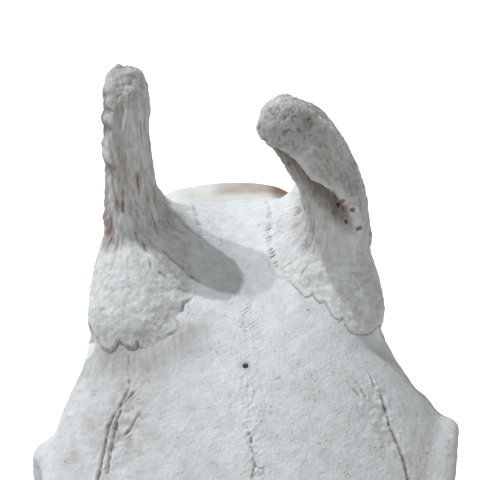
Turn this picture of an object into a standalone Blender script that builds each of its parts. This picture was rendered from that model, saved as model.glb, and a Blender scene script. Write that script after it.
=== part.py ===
"""A life-size giraffe skull with its lower jaw, resting on a flat surface, divided into its bones.

The skull is laid out in millimetres with the grinding plane of the cheek teeth level: x runs to the
animal's left, s runs back from the tip of the snout and h up from the grinding plane. The last step
turns millimetres into metres and sets the skull down on the chin and the angles of its jaw.
"""

import math

import bmesh
import bpy
import numpy as np
from mathutils import Matrix, Vector

MM = 0.001

# Driving sizes, in millimetres
ORBIT_S = 378.0
ORBIT_H = 122.0
ORBIT_OUT = 93.0
ORBIT_RADIUS = 29.5
BONE_GAP = 0.3

# The voxel size of the fused bone and how often it is smoothed
VOXEL = 2.6
BLEND_ROUNDS = 7

# How much of the fused bone's facets stay, and how deep the flats are that the jaw rests on
CRANIUM_KEEP = 0.030
OSSICONE_KEEP = 0.058
JAW_KEEP = 0.024
FLAT_DEPTH = 0.7


def clear_scene():
    for obj in list(bpy.data.objects):
        bpy.data.objects.remove(obj, do_unlink=True)


def through(points):
    """A smooth curve through rows of a place and its values, as a function of the place."""
    rows = np.array(points, float)
    places = rows[:, 0]
    values = rows[:, 1:]
    slopes = np.gradient(values, places, axis=0)

    def at(place):
        place = min(max(place, places[0]), places[-1])
        i = min(int(np.searchsorted(places, place, side="right")) - 1, len(places) - 2)
        step = places[i + 1] - places[i]
        t = (place - places[i]) / step
        rise = (3 - 2 * t) * t * t
        bend_in = t * (1 - t) ** 2 * step
        bend_out = t * t * (t - 1) * step
        found = values[i] * (1 - rise) + values[i + 1] * rise
        found = found + slopes[i] * bend_in + slopes[i + 1] * bend_out
        return found if len(found) > 1 else float(found[0])

    return at


def mesh_object(name, rings):
    """A closed loft through rings of equally many points, with a fan at each end."""
    count = len(rings[0])
    points = [tuple(p) for ring in rings for p in ring]
    faces = []
    for k in range(len(rings) - 1):
        for i in range(count):
            j = (i + 1) % count
            faces.append((k * count + i, k * count + j, (k + 1) * count + j, (k + 1) * count + i))
    for first, turn in ((0, -1), ((len(rings) - 1) * count, 1)):
        points.append(tuple(np.mean(np.array(points[first:first + count]), axis=0)))
        hub = len(points) - 1
        for i in range(count):
            pair = (first + i, first + (i + 1) % count)
            faces.append((hub, *pair[::turn]))
    mesh = bpy.data.meshes.new(name)
    mesh.from_pydata(points, [], faces)
    bm = bmesh.new()
    bm.from_mesh(mesh)
    bmesh.ops.recalc_face_normals(bm, faces=bm.faces)
    bm.to_mesh(mesh)
    bm.free()
    obj = bpy.data.objects.new(name, mesh)
    bpy.context.scene.collection.objects.link(obj)
    return obj


def sweep(stations, across=(1, 0, 0), sides=20, steps=6, cap=0.6, power=2.0):
    """A bar of oval section through stations (x, s, h, half width, half depth), with rounded ends.

    The half width is measured towards the across direction and the half depth square to it."""
    rows = np.array(stations, float)
    at = through([(i, *row) for i, row in enumerate(rows)])
    line = [at(t) for t in np.linspace(0, len(rows) - 1, (len(rows) - 1) * steps + 1)]
    line = np.array(line)
    tangents = np.gradient(line[:, :3], axis=0)
    tangents /= np.linalg.norm(tangents, axis=1)[:, None]
    turns = np.linspace(0, 2 * math.pi, sides, endpoint=False)

    def ring(centre, tangent, wide, deep):
        u = np.array(across, float) - np.dot(across, tangent) * tangent
        u /= np.linalg.norm(u)
        v = np.cross(tangent, u)
        found = []
        for a in turns:
            c, s = math.cos(a), math.sin(a)
            reach = (abs(c) ** power + abs(s) ** power) ** (-1 / power)
            found.append(centre + u * wide * c * reach + v * deep * s * reach)
        return found

    rings = [ring(row[:3], t, row[3], row[4]) for row, t in zip(line, tangents)]
    for end, way in ((0, -1), (-1, 1)):
        centre, tangent = line[end, :3], tangents[end]
        wide, deep = line[end, 3:5]
        for lean in (0.5, 0.85, 0.98):
            out = centre + tangent * way * lean * cap * min(wide, deep)
            share = math.sqrt(1 - lean ** 2)
            made = ring(out, tangent, wide * share, deep * share)
            rings = [made] + rings if way < 0 else rings + [made]
    return mesh_object("bar", rings)


def blob(centre, radii, turn=(0, 0, 0), segments=24):
    """An ellipsoid, turned by angles in degrees about x, s and h."""
    mesh = bpy.data.meshes.new("blob")
    bm = bmesh.new()
    bmesh.ops.create_uvsphere(bm, u_segments=segments, v_segments=segments // 2, radius=1.0)
    bm.to_mesh(mesh)
    bm.free()
    angles = [math.radians(a) for a in turn]
    spin = Matrix.Rotation(angles[2], 4, "Z") @ Matrix.Rotation(angles[1], 4, "Y")
    spin = spin @ Matrix.Rotation(angles[0], 4, "X")
    mesh.transform(Matrix.Translation(centre) @ spin @ Matrix.Diagonal((*radii, 1)))
    obj = bpy.data.objects.new("blob", mesh)
    bpy.context.scene.collection.objects.link(obj)
    return obj


def ring_bar(centre, normal, major, minor):
    """A torus round the normal."""
    bpy.ops.mesh.primitive_torus_add(
        major_radius=major, minor_radius=minor, major_segments=40, minor_segments=12
    )
    obj = bpy.context.object
    lie = Vector(normal).to_track_quat("Z", "Y").to_matrix().to_4x4()
    obj.data.transform(Matrix.Translation(centre) @ lie)
    return obj


def box(low, high):
    """A box between two corners."""
    low, high = Vector(low), Vector(high)
    mesh = bpy.data.meshes.new("box")
    bm = bmesh.new()
    bmesh.ops.create_cube(bm, size=1.0)
    bm.to_mesh(mesh)
    bm.free()
    size = high - low
    mesh.transform(Matrix.Translation((low + high) / 2) @ Matrix.Diagonal((*size, 1)))
    obj = bpy.data.objects.new("box", mesh)
    bpy.context.scene.collection.objects.link(obj)
    return obj


def mirrored(obj):
    """The same piece on the animal's right."""
    twin = bpy.data.objects.new(obj.name, obj.data.copy())
    twin.data.transform(Matrix.Diagonal((-1, 1, 1, 1)))
    twin.data.flip_normals()
    bpy.context.scene.collection.objects.link(twin)
    return twin


def both(pieces):
    """The pieces and their mirror images."""
    return pieces + [mirrored(piece) for piece in pieces]


def frozen(obj):
    """Applies the object's modifiers to its mesh."""
    graph = bpy.context.evaluated_depsgraph_get()
    mesh = bpy.data.meshes.new_from_object(obj.evaluated_get(graph))
    obj.modifiers.clear()
    obj.data = mesh
    return obj


def joined(name, pieces):
    """The pieces as one object of many loose shells."""
    bm = bmesh.new()
    for piece in pieces:
        bm.from_mesh(piece.data)
        bpy.data.objects.remove(piece, do_unlink=True)
    mesh = bpy.data.meshes.new(name)
    bm.to_mesh(mesh)
    bm.free()
    obj = bpy.data.objects.new(name, mesh)
    bpy.context.scene.collection.objects.link(obj)
    return obj


def remeshed(obj, voxel, rounds):
    """One closed skin round all of the object's shells, smoothed so that they flow together."""
    skin = obj.modifiers.new("skin", "REMESH")
    skin.mode = "VOXEL"
    skin.voxel_size = voxel
    smooth = obj.modifiers.new("smooth", "SMOOTH")
    smooth.factor = 0.5
    smooth.iterations = rounds
    return frozen(obj)


def boolean(obj, other, operation, keep=False):
    """Cuts or joins two closed solids. These are too fine for the exact solver, which takes minutes."""
    cut = obj.modifiers.new("cut", "BOOLEAN")
    cut.solver = "MANIFOLD"
    cut.operation = operation
    cut.object = other
    frozen(obj)
    if not keep:
        bpy.data.objects.remove(other, do_unlink=True)
    return obj


def largest_body(obj):
    """Keeps the object's largest closed surface."""
    bm = bmesh.new()
    bm.from_mesh(obj.data)
    left = set(bm.verts)
    groups = []
    while left:
        seed = left.pop()
        group, edge = {seed}, [seed]
        while edge:
            vert = edge.pop()
            for link in vert.link_edges:
                other = link.other_vert(vert)
                if other in left:
                    left.remove(other)
                    group.add(other)
                    edge.append(other)
        groups.append(group)
    groups.sort(key=len)
    for group in groups[:-1]:
        bmesh.ops.delete(bm, geom=list(group), context="VERTS")
    bm.to_mesh(obj.data)
    bm.free()
    return obj


# The outlines of the face and braincase: each row gives a place s and then a height h, or x and h
ROOF = through([
    (185, 97), (200, 102), (260, 125), (320, 149), (365, 169), (400, 180), (440, 186),
    (490, 185), (530, 177), (560, 157), (595, 128), (622, 104),
])
ROOF_SIDE = through([
    (185, 10, 96), (200, 12, 101), (260, 18, 124), (310, 26, 142), (335, 35, 152), (360, 46, 162),
    (400, 52, 174), (440, 48, 183), (490, 42, 187), (530, 38, 182), (565, 35, 156), (600, 31, 126),
    (622, 27, 104),
])
BROW = through([
    (185, 20, 89), (200, 23, 93), (260, 34, 113), (300, 46, 127), (325, 60, 134), (345, 76, 141),
    (360, 86, 148), (380, 93, 153), (400, 91, 156), (420, 86, 156), (440, 80, 155), (480, 74, 154),
    (530, 68, 141), (565, 59, 121), (600, 52, 102), (622, 45, 90),
])
WALL = through([
    (185, 31, 67), (200, 35, 70), (260, 54, 78), (300, 64, 86), (325, 72, 96), (345, 77, 104),
    (360, 72, 106), (380, 54, 106), (420, 46, 112), (450, 45, 118), (490, 51, 112), (530, 55, 103),
    (565, 55, 90), (600, 54, 78), (622, 47, 72),
])
FLANK = through([
    (185, 38, 38), (200, 41, 38), (260, 57, 40), (310, 65, 42), (345, 63, 46), (375, 52, 54),
    (410, 38, 62), (450, 36, 70), (490, 46, 66), (530, 50, 60), (565, 50, 55), (600, 50, 52),
    (622, 42, 56),
])
RIM_OUT = through([
    (185, 39, 16), (200, 41, 14), (260, 54, 13), (320, 61, 13), (355, 60, 14), (382, 50, 22),
    (405, 30, 46), (440, 22, 55), (490, 24, 50), (530, 26, 44), (600, 27, 38), (622, 24, 48),
])
RIM_IN = through([
    (185, 24, 14), (200, 25, 13), (260, 28, 13), (320, 32, 13), (355, 34, 15), (382, 30, 26),
    (405, 16, 52), (440, 12, 57), (490, 13, 51), (530, 14, 44), (600, 14, 37), (622, 12, 46),
])
PALATE = through([
    (185, 22), (200, 24), (260, 31), (320, 35), (360, 39), (385, 46), (405, 54), (440, 58),
    (490, 52), (530, 45), (600, 37), (622, 45),
])
BODY_FRONT, BODY_BACK, BODY_RINGS = 185.0, 622.0, 76
RING_STEPS = 5


# The right brow stands a little further out than the left, most of all between the ossicones and the eyes
SKEW = through([(320, 0), (400, 1), (470, 1), (540, 0)])


def body_ring(s):
    """One section of the face or braincase, round from the roof to the palate and back."""
    edges = (ROOF_SIDE, BROW, WALL, FLANK, RIM_OUT, RIM_IN)
    half = [(0, ROOF(s)), *(edge(s) for edge in edges), (0, PALATE(s))]
    loop = half + [(-x, h) for x, h in half[-2:0:-1]]
    count = len(loop)
    rows = [(i, *loop[i % count]) for i in range(-2, count + 3)]
    bend = through(rows)
    places = np.linspace(0, count, count * RING_STEPS, endpoint=False)
    left, right = 1 - 0.03 * SKEW(s), 1 + 0.035 * SKEW(s)
    return [(x * (left if x > 0 else right), s, h) for x, h in (bend(t) for t in places)]


def face_and_braincase():
    rings = [body_ring(s) for s in np.linspace(BODY_FRONT, BODY_BACK, BODY_RINGS)]
    return mesh_object("body", rings)


def nasal_cavity():
    """The hollow behind the nose opening."""
    return sweep([
        (0, 150, 52, 29, 30), (0, 185, 61, 27, 27), (0, 210, 67, 26, 27), (0, 240, 75, 28, 31),
        (0, 275, 84, 31, 34), (0, 310, 94, 30, 34), (0, 335, 101, 20, 22),
    ])


def snout():
    """The long toothless premaxillae, the maxillae beside them, the nasals and the floor of the nose."""
    premaxilla = sweep([
        (16, 5, 9, 10, 5), (22, 20, 11, 10, 7), (23.5, 50, 17, 6.5, 9), (23, 85, 28, 5.2, 12),
        (24, 120, 41, 4.8, 14), (26, 155, 57, 4.6, 15), (28, 190, 74, 4.6, 14), (29, 215, 86, 4.2, 12),
        (29, 240, 98, 4, 8),
    ])
    maxilla = sweep([
        (22, 52, 12, 4, 5), (25, 100, 18, 7.5, 11), (29, 145, 27, 8.5, 16), (34, 190, 38, 7, 22),
        (40, 215, 42, 6, 22), (46, 250, 46, 5, 20),
    ])
    nasal = sweep([
        (6, 172, 87, 2.6, 2.4), (8, 188, 92, 5.5, 3.6), (10, 210, 100, 9, 4.6), (12, 235, 109, 11, 5.5),
        (13, 262, 118, 12, 5.5),
    ])
    floor = sweep([
        (0, 10, 8, 14, 3.5), (0, 28, 9, 13, 3.6), (0, 100, 13, 20, 3.8), (0, 160, 20, 28, 4),
        (0, 230, 28, 34, 5),
    ])
    vomer = sweep([
        (0, 120, 22, 3, 8), (0, 170, 32, 3, 13), (0, 240, 46, 3, 20), (0, 320, 66, 3.4, 26),
    ])
    return both([premaxilla, maxilla, nasal]) + [floor, vomer]


def incisive_openings():
    """The long slots through the palate behind the tip of the snout."""
    return both([sweep([(9, 40, 9, 4, 14), (8.5, 60, 11, 5, 14), (8.5, 90, 13, 3.5, 14)], cap=1.0)])


def orbit_pieces():
    """The raised ring round each eye socket, with the bar of bone behind it."""
    ring = ring_bar((ORBIT_OUT, ORBIT_S, ORBIT_H), (0.94, -0.30, 0.10), ORBIT_RADIUS + 4, 6.5)
    bar = sweep([
        (84, 408, 152, 8, 13), (92, 410, 134, 7, 10), (96, 411, 112, 7, 9), (95, 409, 88, 8, 12),
    ])
    return both([ring, bar])


def eye_sockets():
    radii = (47, ORBIT_RADIUS, ORBIT_RADIUS)
    return both([blob((ORBIT_OUT - 21, ORBIT_S + 5, ORBIT_H), radii, turn=(0, -6, -18))])


def cheek_arches():
    """The cheek bone under the eye, and the slender arch back to the jaw joint."""
    arch = sweep([
        (52, 270, 44, 4, 8), (62, 305, 58, 9, 14), (75, 335, 74, 11, 16), (86, 362, 84, 9, 14),
        (94, 390, 87, 8, 12), (95, 415, 88, 7.5, 12), (93, 445, 91, 6.4, 11), (87, 472, 95, 6, 10),
        (76, 498, 98, 8, 11), (56, 522, 98, 12, 13),
    ])
    joint = blob((63, 506, 90), (27, 19, 10))
    stop = sweep([(46, 526, 86, 9, 9), (62, 527, 80, 8, 12), (76, 524, 84, 6, 8)], across=(0, 1, 0))
    return both([arch, joint, stop])


def skull_base():
    """The ear region, the bar of the base and the wings beside the inner nostrils."""
    base = sweep([
        (0, 420, 62, 14, 9), (0, 470, 58, 17, 11), (0, 530, 50, 20, 11), (0, 600, 44, 26, 12),
    ])
    wing = sweep([
        (27, 362, 28, 5, 10), (24, 388, 38, 4.6, 18), (21, 418, 46, 4.4, 19), (21, 452, 54, 5, 13),
        (22, 480, 60, 5, 8),
    ])
    bulla = blob((38, 545, 47), (13, 19, 15))
    ear = sweep([(38, 548, 62, 15, 15), (58, 548, 73, 13, 13), (68, 546, 79, 9, 9)], across=(0, 1, 0))
    process = sweep([
        (50, 582, 74, 14, 20), (53, 588, 46, 9, 15), (52, 592, 20, 6.5, 11), (50, 595, 4, 4.5, 6),
    ])
    mastoid = sweep([(50, 548, 108, 13, 22), (57, 572, 92, 14, 24), (55, 594, 74, 12, 18)])
    return [base] + both([wing, bulla, ear, process, mastoid])


def inner_nostrils():
    return [sweep([(0, 345, 66, 14, 12), (0, 385, 52, 15, 16), (0, 425, 34, 15, 18)])]


def ear_openings():
    return both([sweep([(50, 547, 68, 4.8, 4.8), (90, 544, 92, 5.4, 5.4)], across=(0, 1, 0))])


def occiput():
    """The pair of knuckles that met the neck, and the crest for its great ligament."""
    condyle = sweep([
        (36, 600, 70, 10, 12), (31, 612, 62, 13, 18), (23, 622, 49, 13, 16), (13, 622, 38, 9, 8),
    ], across=(0.8, 0.6, 0))
    crest = sweep([
        (-50, 592, 94, 8, 9), (-43, 599, 112.5, 6, 12), (-31, 606, 120, 5.5, 14), (0, 609, 121, 5.5, 15),
        (31, 606, 120, 5.5, 14), (43, 599, 112.5, 6, 12), (50, 592, 94, 8, 9),
    ], across=(0, 0, 1))
    ridge = sweep([(0, 612, 106, 6, 9), (0, 621, 90, 4.5, 7)])
    return both([condyle]) + [crest, ridge]


def brain_opening():
    return [sweep([(0, 665, 62, 17.5, 19), (0, 615, 66, 17.5, 18.5), (0, 560, 74, 17, 17)])]


def cranium():
    """Face, cheeks, braincase and base as one fused solid, without teeth or ossicones."""
    solid = boolean(face_and_braincase(), nasal_cavity(), "DIFFERENCE")
    added = snout() + orbit_pieces() + cheek_arches() + skull_base() + occiput()
    solid = remeshed(joined("cranium", [solid, *added]), VOXEL, BLEND_ROUNDS)
    cuts = eye_sockets() + incisive_openings() + inner_nostrils() + ear_openings()
    for cut in cuts + brain_opening():
        boolean(solid, cut, "DIFFERENCE")
    return remeshed(largest_body(solid), VOXEL, 3)


def ossicone_base(side):
    """The low mound of an ossicone's foot, with a skirt that runs up the inner side of the stem."""
    out = side * (1.0 if side < 0 else 0.93)
    return [
        sweep([
            (out * 51, 436, 175, 16, 8), (out * 51, 446, 176, 24, 13), (out * 50, 456, 176, 28, 17),
            (out * 49, 468, 175, 29, 22), (out * 48, 482, 174, 29.5, 26), (out * 47, 497, 173, 28.5, 29),
            (out * 44, 512, 170, 27, 28), (out * 41, 528, 163, 23, 23), (out * 37, 546, 154, 13, 12),
        ]),
        sweep([
            (out * 38, 446, 178, 12, 5), (out * 36, 456, 179, 16, 8), (out * 34, 468, 180, 19, 10),
            (out * 33, 482, 181, 19, 12), (out * 34, 496, 180, 19, 14), (out * 36, 510, 177, 18, 17),
            (out * 38, 523, 172, 16, 19), (out * 40, 536, 164, 13, 17), (out * 40, 548, 154, 10, 13),
        ]),
        sweep([
            (out * 43, 500, 186, 9, 11), (out * 44, 512, 189, 9, 15), (out * 44.5, 524, 188, 9, 17),
            (out * 45, 536, 178, 8, 14),
        ]),
    ]


def ossicone_left():
    """The animal's left ossicone: short, thick, bent inward and forward at the tip."""
    stem = sweep([
        (52, 488, 168, 22, 34), (52, 492, 190, 17.5, 26), (52, 499, 208, 16, 23),
        (47, 507, 225, 16, 21), (36.5, 512, 242, 16.5, 19), (22.5, 513, 257, 13, 14),
    ])
    return [stem, *ossicone_base(1)]


def ossicone_right():
    """The animal's right ossicone: tall, upright and flattened from side to side."""
    stem = sweep([
        (-52, 504, 176, 21, 33), (-53, 512, 196, 15.5, 23), (-53.5, 520, 216, 13, 21.5),
        (-54, 529, 238, 12, 21), (-52.5, 538, 255, 12, 18), (-51.5, 543, 264, 9.5, 12.5),
    ])
    return [stem, *ossicone_base(-1)]


def ossicone(name, pieces, ground):
    """An ossicone resting on the bone below it, with a thin gap between them."""
    solid = decimated(remeshed(joined(name, pieces), VOXEL, 5), OSSICONE_KEEP)
    boolean(solid, ground, "DIFFERENCE", keep=True)
    lean = -0.4 if name.endswith("right") else 0.4
    away = Vector((lean, 0, 1)).normalized() * BONE_GAP * 1.2
    solid.data.transform(Matrix.Translation(away))
    return largest_body(solid)


def jaw_half():
    """The left half of the lower jaw, without its teeth."""
    body = sweep([
        (12, 6, -8, 12, 3.2), (15, 20, -11, 15, 6), (14.5, 50, -18, 13.5, 9.5), (13, 80, -25, 11.5, 13),
        (15, 108, -28, 10, 14), (22, 150, -27, 8.5, 13), (31, 205, -28, 10, 17),
        (38, 270, -32, 11.5, 20.5), (44, 340, -36.5, 12.5, 24.5), (49, 400, -39, 11.5, 27.5),
        (52, 445, -38, 9, 29),
    ], steps=8)
    ramus = sweep([
        (53, 470, -70, 5, 14), (53, 466, -60, 6.5, 31), (54, 465, -40, 7, 43), (57, 467, -14, 6.5, 43),
        (60, 475, 15, 6, 36), (63, 485, 44, 6, 29), (65, 493, 64, 6, 21),
    ], power=2.5)
    neck = sweep([(65, 497, 45, 7, 16), (67, 505, 60, 8, 11), (69, 508, 70, 11, 8)])
    condyle = blob((69, 508, 72), (15.5, 9, 6.5))
    hook = sweep([
        (63, 470, 36, 5.5, 18), (66, 471, 72, 5, 13), (68, 478, 100, 4.2, 9), (68, 491, 119, 3.6, 6),
    ])
    return [body, ramus, neck, condyle, hook]


def tooth(x, s, h, half_wide, half_long, height, twist=0.0, steps=(0.92, 1.0, 0.96)):
    """A cheek tooth's crown standing from the bone at h, as a tapered block with rounded corners."""
    rings = []
    for k, share in enumerate(steps):
        level = h + height * k / (len(steps) - 1)
        ring = []
        for a in np.linspace(0, 2 * math.pi, 10, endpoint=False) + math.pi / 10:
            c, d = math.cos(a), math.sin(a)
            reach = (abs(c) ** 4 + abs(d) ** 4) ** -0.25 * share
            u, v = half_wide * c * reach, half_long * d * reach
            turned = u * math.cos(twist) - v * math.sin(twist), u * math.sin(twist) + v * math.cos(twist)
            ring.append((x + turned[0], s + turned[1], level))
        rings.append(ring)
    return mesh_object("tooth", rings)


# Cheek teeth from front to back: the length of each crown, then its width
UPPER_TEETH = ((20, 20), (21, 25), (21, 28), (27, 30), (30, 32), (30, 30))
LOWER_TEETH = ((17, 12), (19, 15), (21, 17), (26, 19), (28, 20), (36, 18))
UPPER_ROW = through([(225, 37), (300, 45), (375, 48)])
LOWER_ROW = through([(224, 34), (300, 41), (372, 46)])


def cheek_teeth(sizes, start, row, root, height):
    teeth, s = [], start
    for long, wide in sizes:
        middle = s + long / 2
        twist = -math.atan2(row(middle + 5) - row(middle - 5), 10)
        crown = tooth(row(middle), middle, root, wide / 2, long / 2 + 0.15, height, twist)
        teeth.append(crown)
        s += long
    return teeth


def front_teeth():
    """The four spoon-shaped teeth on the left of the lower jaw's tip, fanned outward."""
    teeth = []
    for i in range(4):
        turn = math.radians(8 + 17 * i)
        root = Vector((4.6 + 6.0 * i, 14 + 2.4 * i, -8))
        way = Vector((math.sin(turn), -math.cos(turn), 0.28))
        beside = Vector((math.cos(turn), math.sin(turn), 0))
        rings = []
        for along, wide, thick in ((0, 2.8, 3), (8, 3.4, 3.2), (17, 5.6, 2.6), (23, 5.4, 1.2)):
            middle = root + way * along
            spots = [(math.cos(a), math.sin(a)) for a in np.linspace(0, 2 * math.pi, 8, endpoint=False)]
            rings.append([middle + beside * wide * c + Vector((0, 0, thick * d)) for c, d in spots])
        teeth.append(mesh_object("tooth", rings))
    return teeth


def decimated(obj, keep):
    """The object's skin in fewer, larger facets."""
    fewer = obj.modifiers.new("fewer", "DECIMATE")
    fewer.ratio = keep
    return frozen(obj)


def outline_offset(points, grow):
    """A polygon's corners, moved outward by a distance (inward where it is negative)."""
    count = len(points)
    area = sum(
        points[i][0] * points[(i + 1) % count][1] - points[(i + 1) % count][0] * points[i][1]
        for i in range(count)
    )
    way = 1 if area > 0 else -1
    moved = []
    for i in range(count):
        here = Vector(points[i])
        into = (here - Vector(points[i - 1])).normalized()
        out = (Vector(points[(i + 1) % count]) - here).normalized()
        normal = Vector((into.y + out.y, -into.x - out.x)).normalized()
        spread = max(0.35, normal.dot(Vector((into.y, -into.x))))
        moved.append(here + normal * way * grow / spread)
    return moved


def prism(axis, outline, low, high, grow):
    """A block drawn from the side as (s, h) or from above as (x, s), grown all round by a distance."""
    points = outline_offset(outline, grow)
    rings = []
    for level in (low - grow, high + grow):
        if axis == "x":
            rings.append([(level, p.x, p.y) for p in points])
        else:
            rings.append([(p.x, p.y, level) for p in points])
    bm = bmesh.new()
    ends = [[bm.verts.new(p) for p in ring] for ring in rings]
    for ring in ends:
        bm.faces.new(ring)
    for i in range(len(points)):
        j = (i + 1) % len(points)
        bm.faces.new((ends[0][i], ends[0][j], ends[1][j], ends[1][i]))
    bmesh.ops.recalc_face_normals(bm, faces=bm.faces)
    bmesh.ops.triangulate(bm, faces=bm.faces)
    mesh = bpy.data.meshes.new("prism")
    bm.to_mesh(mesh)
    bm.free()
    obj = bpy.data.objects.new("prism", mesh)
    bpy.context.scene.collection.objects.link(obj)
    return obj


# Where the bones part, each drawn from the side as (s, h); the wide ones run past the surface
OCCIPITAL = ((566, -20), (566, 58), (574, 66), (580, 84), (592, 97), (598, 118), (606, 140),
             (680, 140), (680, -20))
TEMPORAL = ((438, 60), (441, 76), (438, 92), (445, 112), (470, 118), (500, 126), (535, 130),
            (565, 126), (600, 122), (600, 20), (500, 20), (456, 52))
PARIETAL = ((506, 126), (503, 150), (508, 176), (504, 215), (640, 215), (640, 118), (565, 124))
PARIETAL_TOP = ((-160, 480), (-25, 480), (-22, 505), (-20, 545), (-10, 551), (10, 551), (20, 545),
                (22, 505), (25, 480), (160, 480), (160, 700), (-160, 700))
NASAL = ((160, 78), (215, 90), (260, 112), (300, 128), (340, 136), (340, 170), (160, 170))
NASAL_TOP = ((0, 160), (16, 160), (19, 215), (23, 250), (26, 290), (24, 312), (14, 320), (11, 334),
             (0, 338))
FRONTAL = ((318, 112), (345, 106), (378, 112), (405, 112), (412, 122), (440, 114), (480, 120),
           (562, 126), (562, 215), (300, 215), (300, 138), (308, 126))
ZYGOMATIC = ((296, 46), (306, 66), (318, 84), (322, 100), (345, 104), (378, 110), (405, 110),
             (414, 120), (436, 118), (446, 96), (446, 60), (390, 40), (340, 40))
PREMAXILLA = ((-20, -20), (-20, 200), (262, 200), (250, 106), (215, 78), (180, 58), (140, 38),
              (100, 23), (66, 13), (58, 0), (58, -20))
BASE = ((379, -20), (379, 30), (388, 46), (380, 70), (386, 115), (600, 140), (600, -20))

WIDE = 160.0


def bone_regions():
    """The bones in the order they are parted: each is a name and the blocks whose overlap holds it."""
    found = [
        ("occipital", [("x", OCCIPITAL, -WIDE, WIDE)]),
        ("temporal_left", [("x", TEMPORAL, 29, WIDE)]),
        ("temporal_right", [("x", TEMPORAL, -WIDE, -29)]),
        ("parietal", [("x", PARIETAL, -WIDE, WIDE), ("h", PARIETAL_TOP, 60, 230)]),
        ("nasal_left", [("x", NASAL, 0, WIDE), ("h", NASAL_TOP, 60, 220)]),
    ]
    other_top = tuple((-x, s) for x, s in NASAL_TOP)
    found.append(("nasal_right", [("x", NASAL, -WIDE, 0), ("h", other_top, 60, 220)]))
    for name, outline, inner in (
        ("frontal", FRONTAL, 0), ("zygomatic", ZYGOMATIC, 50), ("premaxilla", PREMAXILLA, 0),
    ):
        found.append((name + "_left", [("x", outline, inner, WIDE)]))
        found.append((name + "_right", [("x", outline, -WIDE, -inner)]))
    found.append(("sphenoid", [("x", BASE, -WIDE, WIDE)]))
    found.append(("maxilla_left", [("x", ((-50, -50), (-50, 300), (700, 300), (700, -50)), 0, WIDE)]))
    found.append(("maxilla_right", [("x", ((-50, -50), (-50, 300), (700, 300), (700, -50)), -WIDE, 0)]))
    return found


def region(blocks, grow):
    first, *rest = [prism(*block, grow) for block in blocks]
    for other in rest:
        boolean(first, other, "INTERSECT")
    return first


def parted(solid):
    """The cranium's bones, cut from the solid one after another with a thin gap round each."""
    bones = {}
    for name, blocks in bone_regions():
        piece = solid.copy()
        piece.data = solid.data.copy()
        piece.name = name
        bpy.context.scene.collection.objects.link(piece)
        boolean(piece, region(blocks, -BONE_GAP / 2), "INTERSECT")
        boolean(solid, region(blocks, BONE_GAP / 2), "DIFFERENCE")
        bones[name] = largest_body(piece)
    bpy.data.objects.remove(solid, do_unlink=True)
    return bones


def with_teeth(bone, teeth):
    for crown in teeth:
        boolean(bone, crown, "UNION")
    return bone


def rest_pitch(jaw):
    """The angle that brings the chin and the angle of the jaw to one level."""
    points = np.array([v.co for v in jaw.data.vertices])
    front, back = points[points[:, 1] < 200], points[points[:, 1] > 430]
    low, high = 0.0, math.radians(20)
    for _ in range(40):
        pitch = (low + high) / 2
        chin = (front[:, 2] * math.cos(pitch) + front[:, 1] * math.sin(pitch)).min()
        heel = (back[:, 2] * math.cos(pitch) + back[:, 1] * math.sin(pitch)).min()
        low, high = (pitch, high) if heel < chin else (low, pitch)
    return low


def rest_place(bones):
    """Metres, with the nose dipped so that the jaw rests level and the origin below the middle."""
    tilt = Matrix.Rotation(rest_pitch(bones["mandible_left"]), 4, "X")
    points = np.array([tilt @ v.co for bone in bones.values() for v in bone.data.vertices])
    low, high = points.min(axis=0), points.max(axis=0)
    middle = Vector((-(low[0] + high[0]) / 2, -(low[1] + high[1]) / 2, -low[2] - FLAT_DEPTH))
    return Matrix.Scale(MM, 4) @ Matrix.Translation(middle) @ tilt


def rest_flats(bone):
    """Takes off what reaches below the floor, which leaves a small flat under chin and jaw angle."""
    return boolean(bone, box((-1, -1, -1), (1, 1, 0)), "DIFFERENCE")


# Dry, bleached bone: the colour of each group of bones and how matt it is
BONE_LOOKS = {
    "ossicone": ((0.58, 0.55, 0.49, 1.0), 0.82),
    "mandible": ((0.70, 0.67, 0.60, 1.0), 0.70),
    "occipital": ((0.68, 0.64, 0.56, 1.0), 0.74),
    "temporal": ((0.66, 0.62, 0.55, 1.0), 0.74),
    "": ((0.74, 0.72, 0.67, 1.0), 0.72),
}


def finished(name, bone, collection):
    """Names the bone, shades it and gives it its own material."""
    group = next(key for key in BONE_LOOKS if name.startswith(key))
    colour, roughness = BONE_LOOKS[group]
    material = bpy.data.materials.new(name)
    material.use_nodes = True
    shader = material.node_tree.nodes["Principled BSDF"]
    shader.inputs["Base Color"].default_value = colour
    shader.inputs["Roughness"].default_value = roughness
    shader.inputs["Metallic"].default_value = 0.0
    material.diffuse_color = colour
    bone.name = name
    bone.data.name = name
    bone.data.materials.clear()
    bone.data.materials.append(material)
    bone.data.shade_smooth()
    bone.data.set_sharp_from_angle(angle=math.radians(40))
    for holder in list(bone.users_collection):
        holder.objects.unlink(bone)
    collection.objects.link(bone)


def skull_bones():
    """Every bone of the skull by name, still in millimetres."""
    solid = decimated(cranium(), CRANIUM_KEEP)
    bones = {
        "ossicone_left": ossicone("ossicone_left", ossicone_left(), solid),
        "ossicone_right": ossicone("ossicone_right", ossicone_right(), solid),
    }
    bones.update(parted(solid))
    upper = cheek_teeth(UPPER_TEETH, 226, UPPER_ROW, 0.6, 16.4)
    with_teeth(bones["maxilla_right"], [mirrored(crown) for crown in upper])
    with_teeth(bones["maxilla_left"], upper)
    jaw = decimated(remeshed(joined("mandible_left", jaw_half()), VOXEL, 5), JAW_KEEP)
    boolean(jaw, box((BONE_GAP / 2, -60, -200), (200, 700, 300)), "INTERSECT")
    with_teeth(jaw, cheek_teeth(LOWER_TEETH, 225, LOWER_ROW, -16, 15.4) + front_teeth())
    bones["mandible_left"] = jaw
    bones["mandible_right"] = mirrored(jaw)
    return bones


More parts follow.
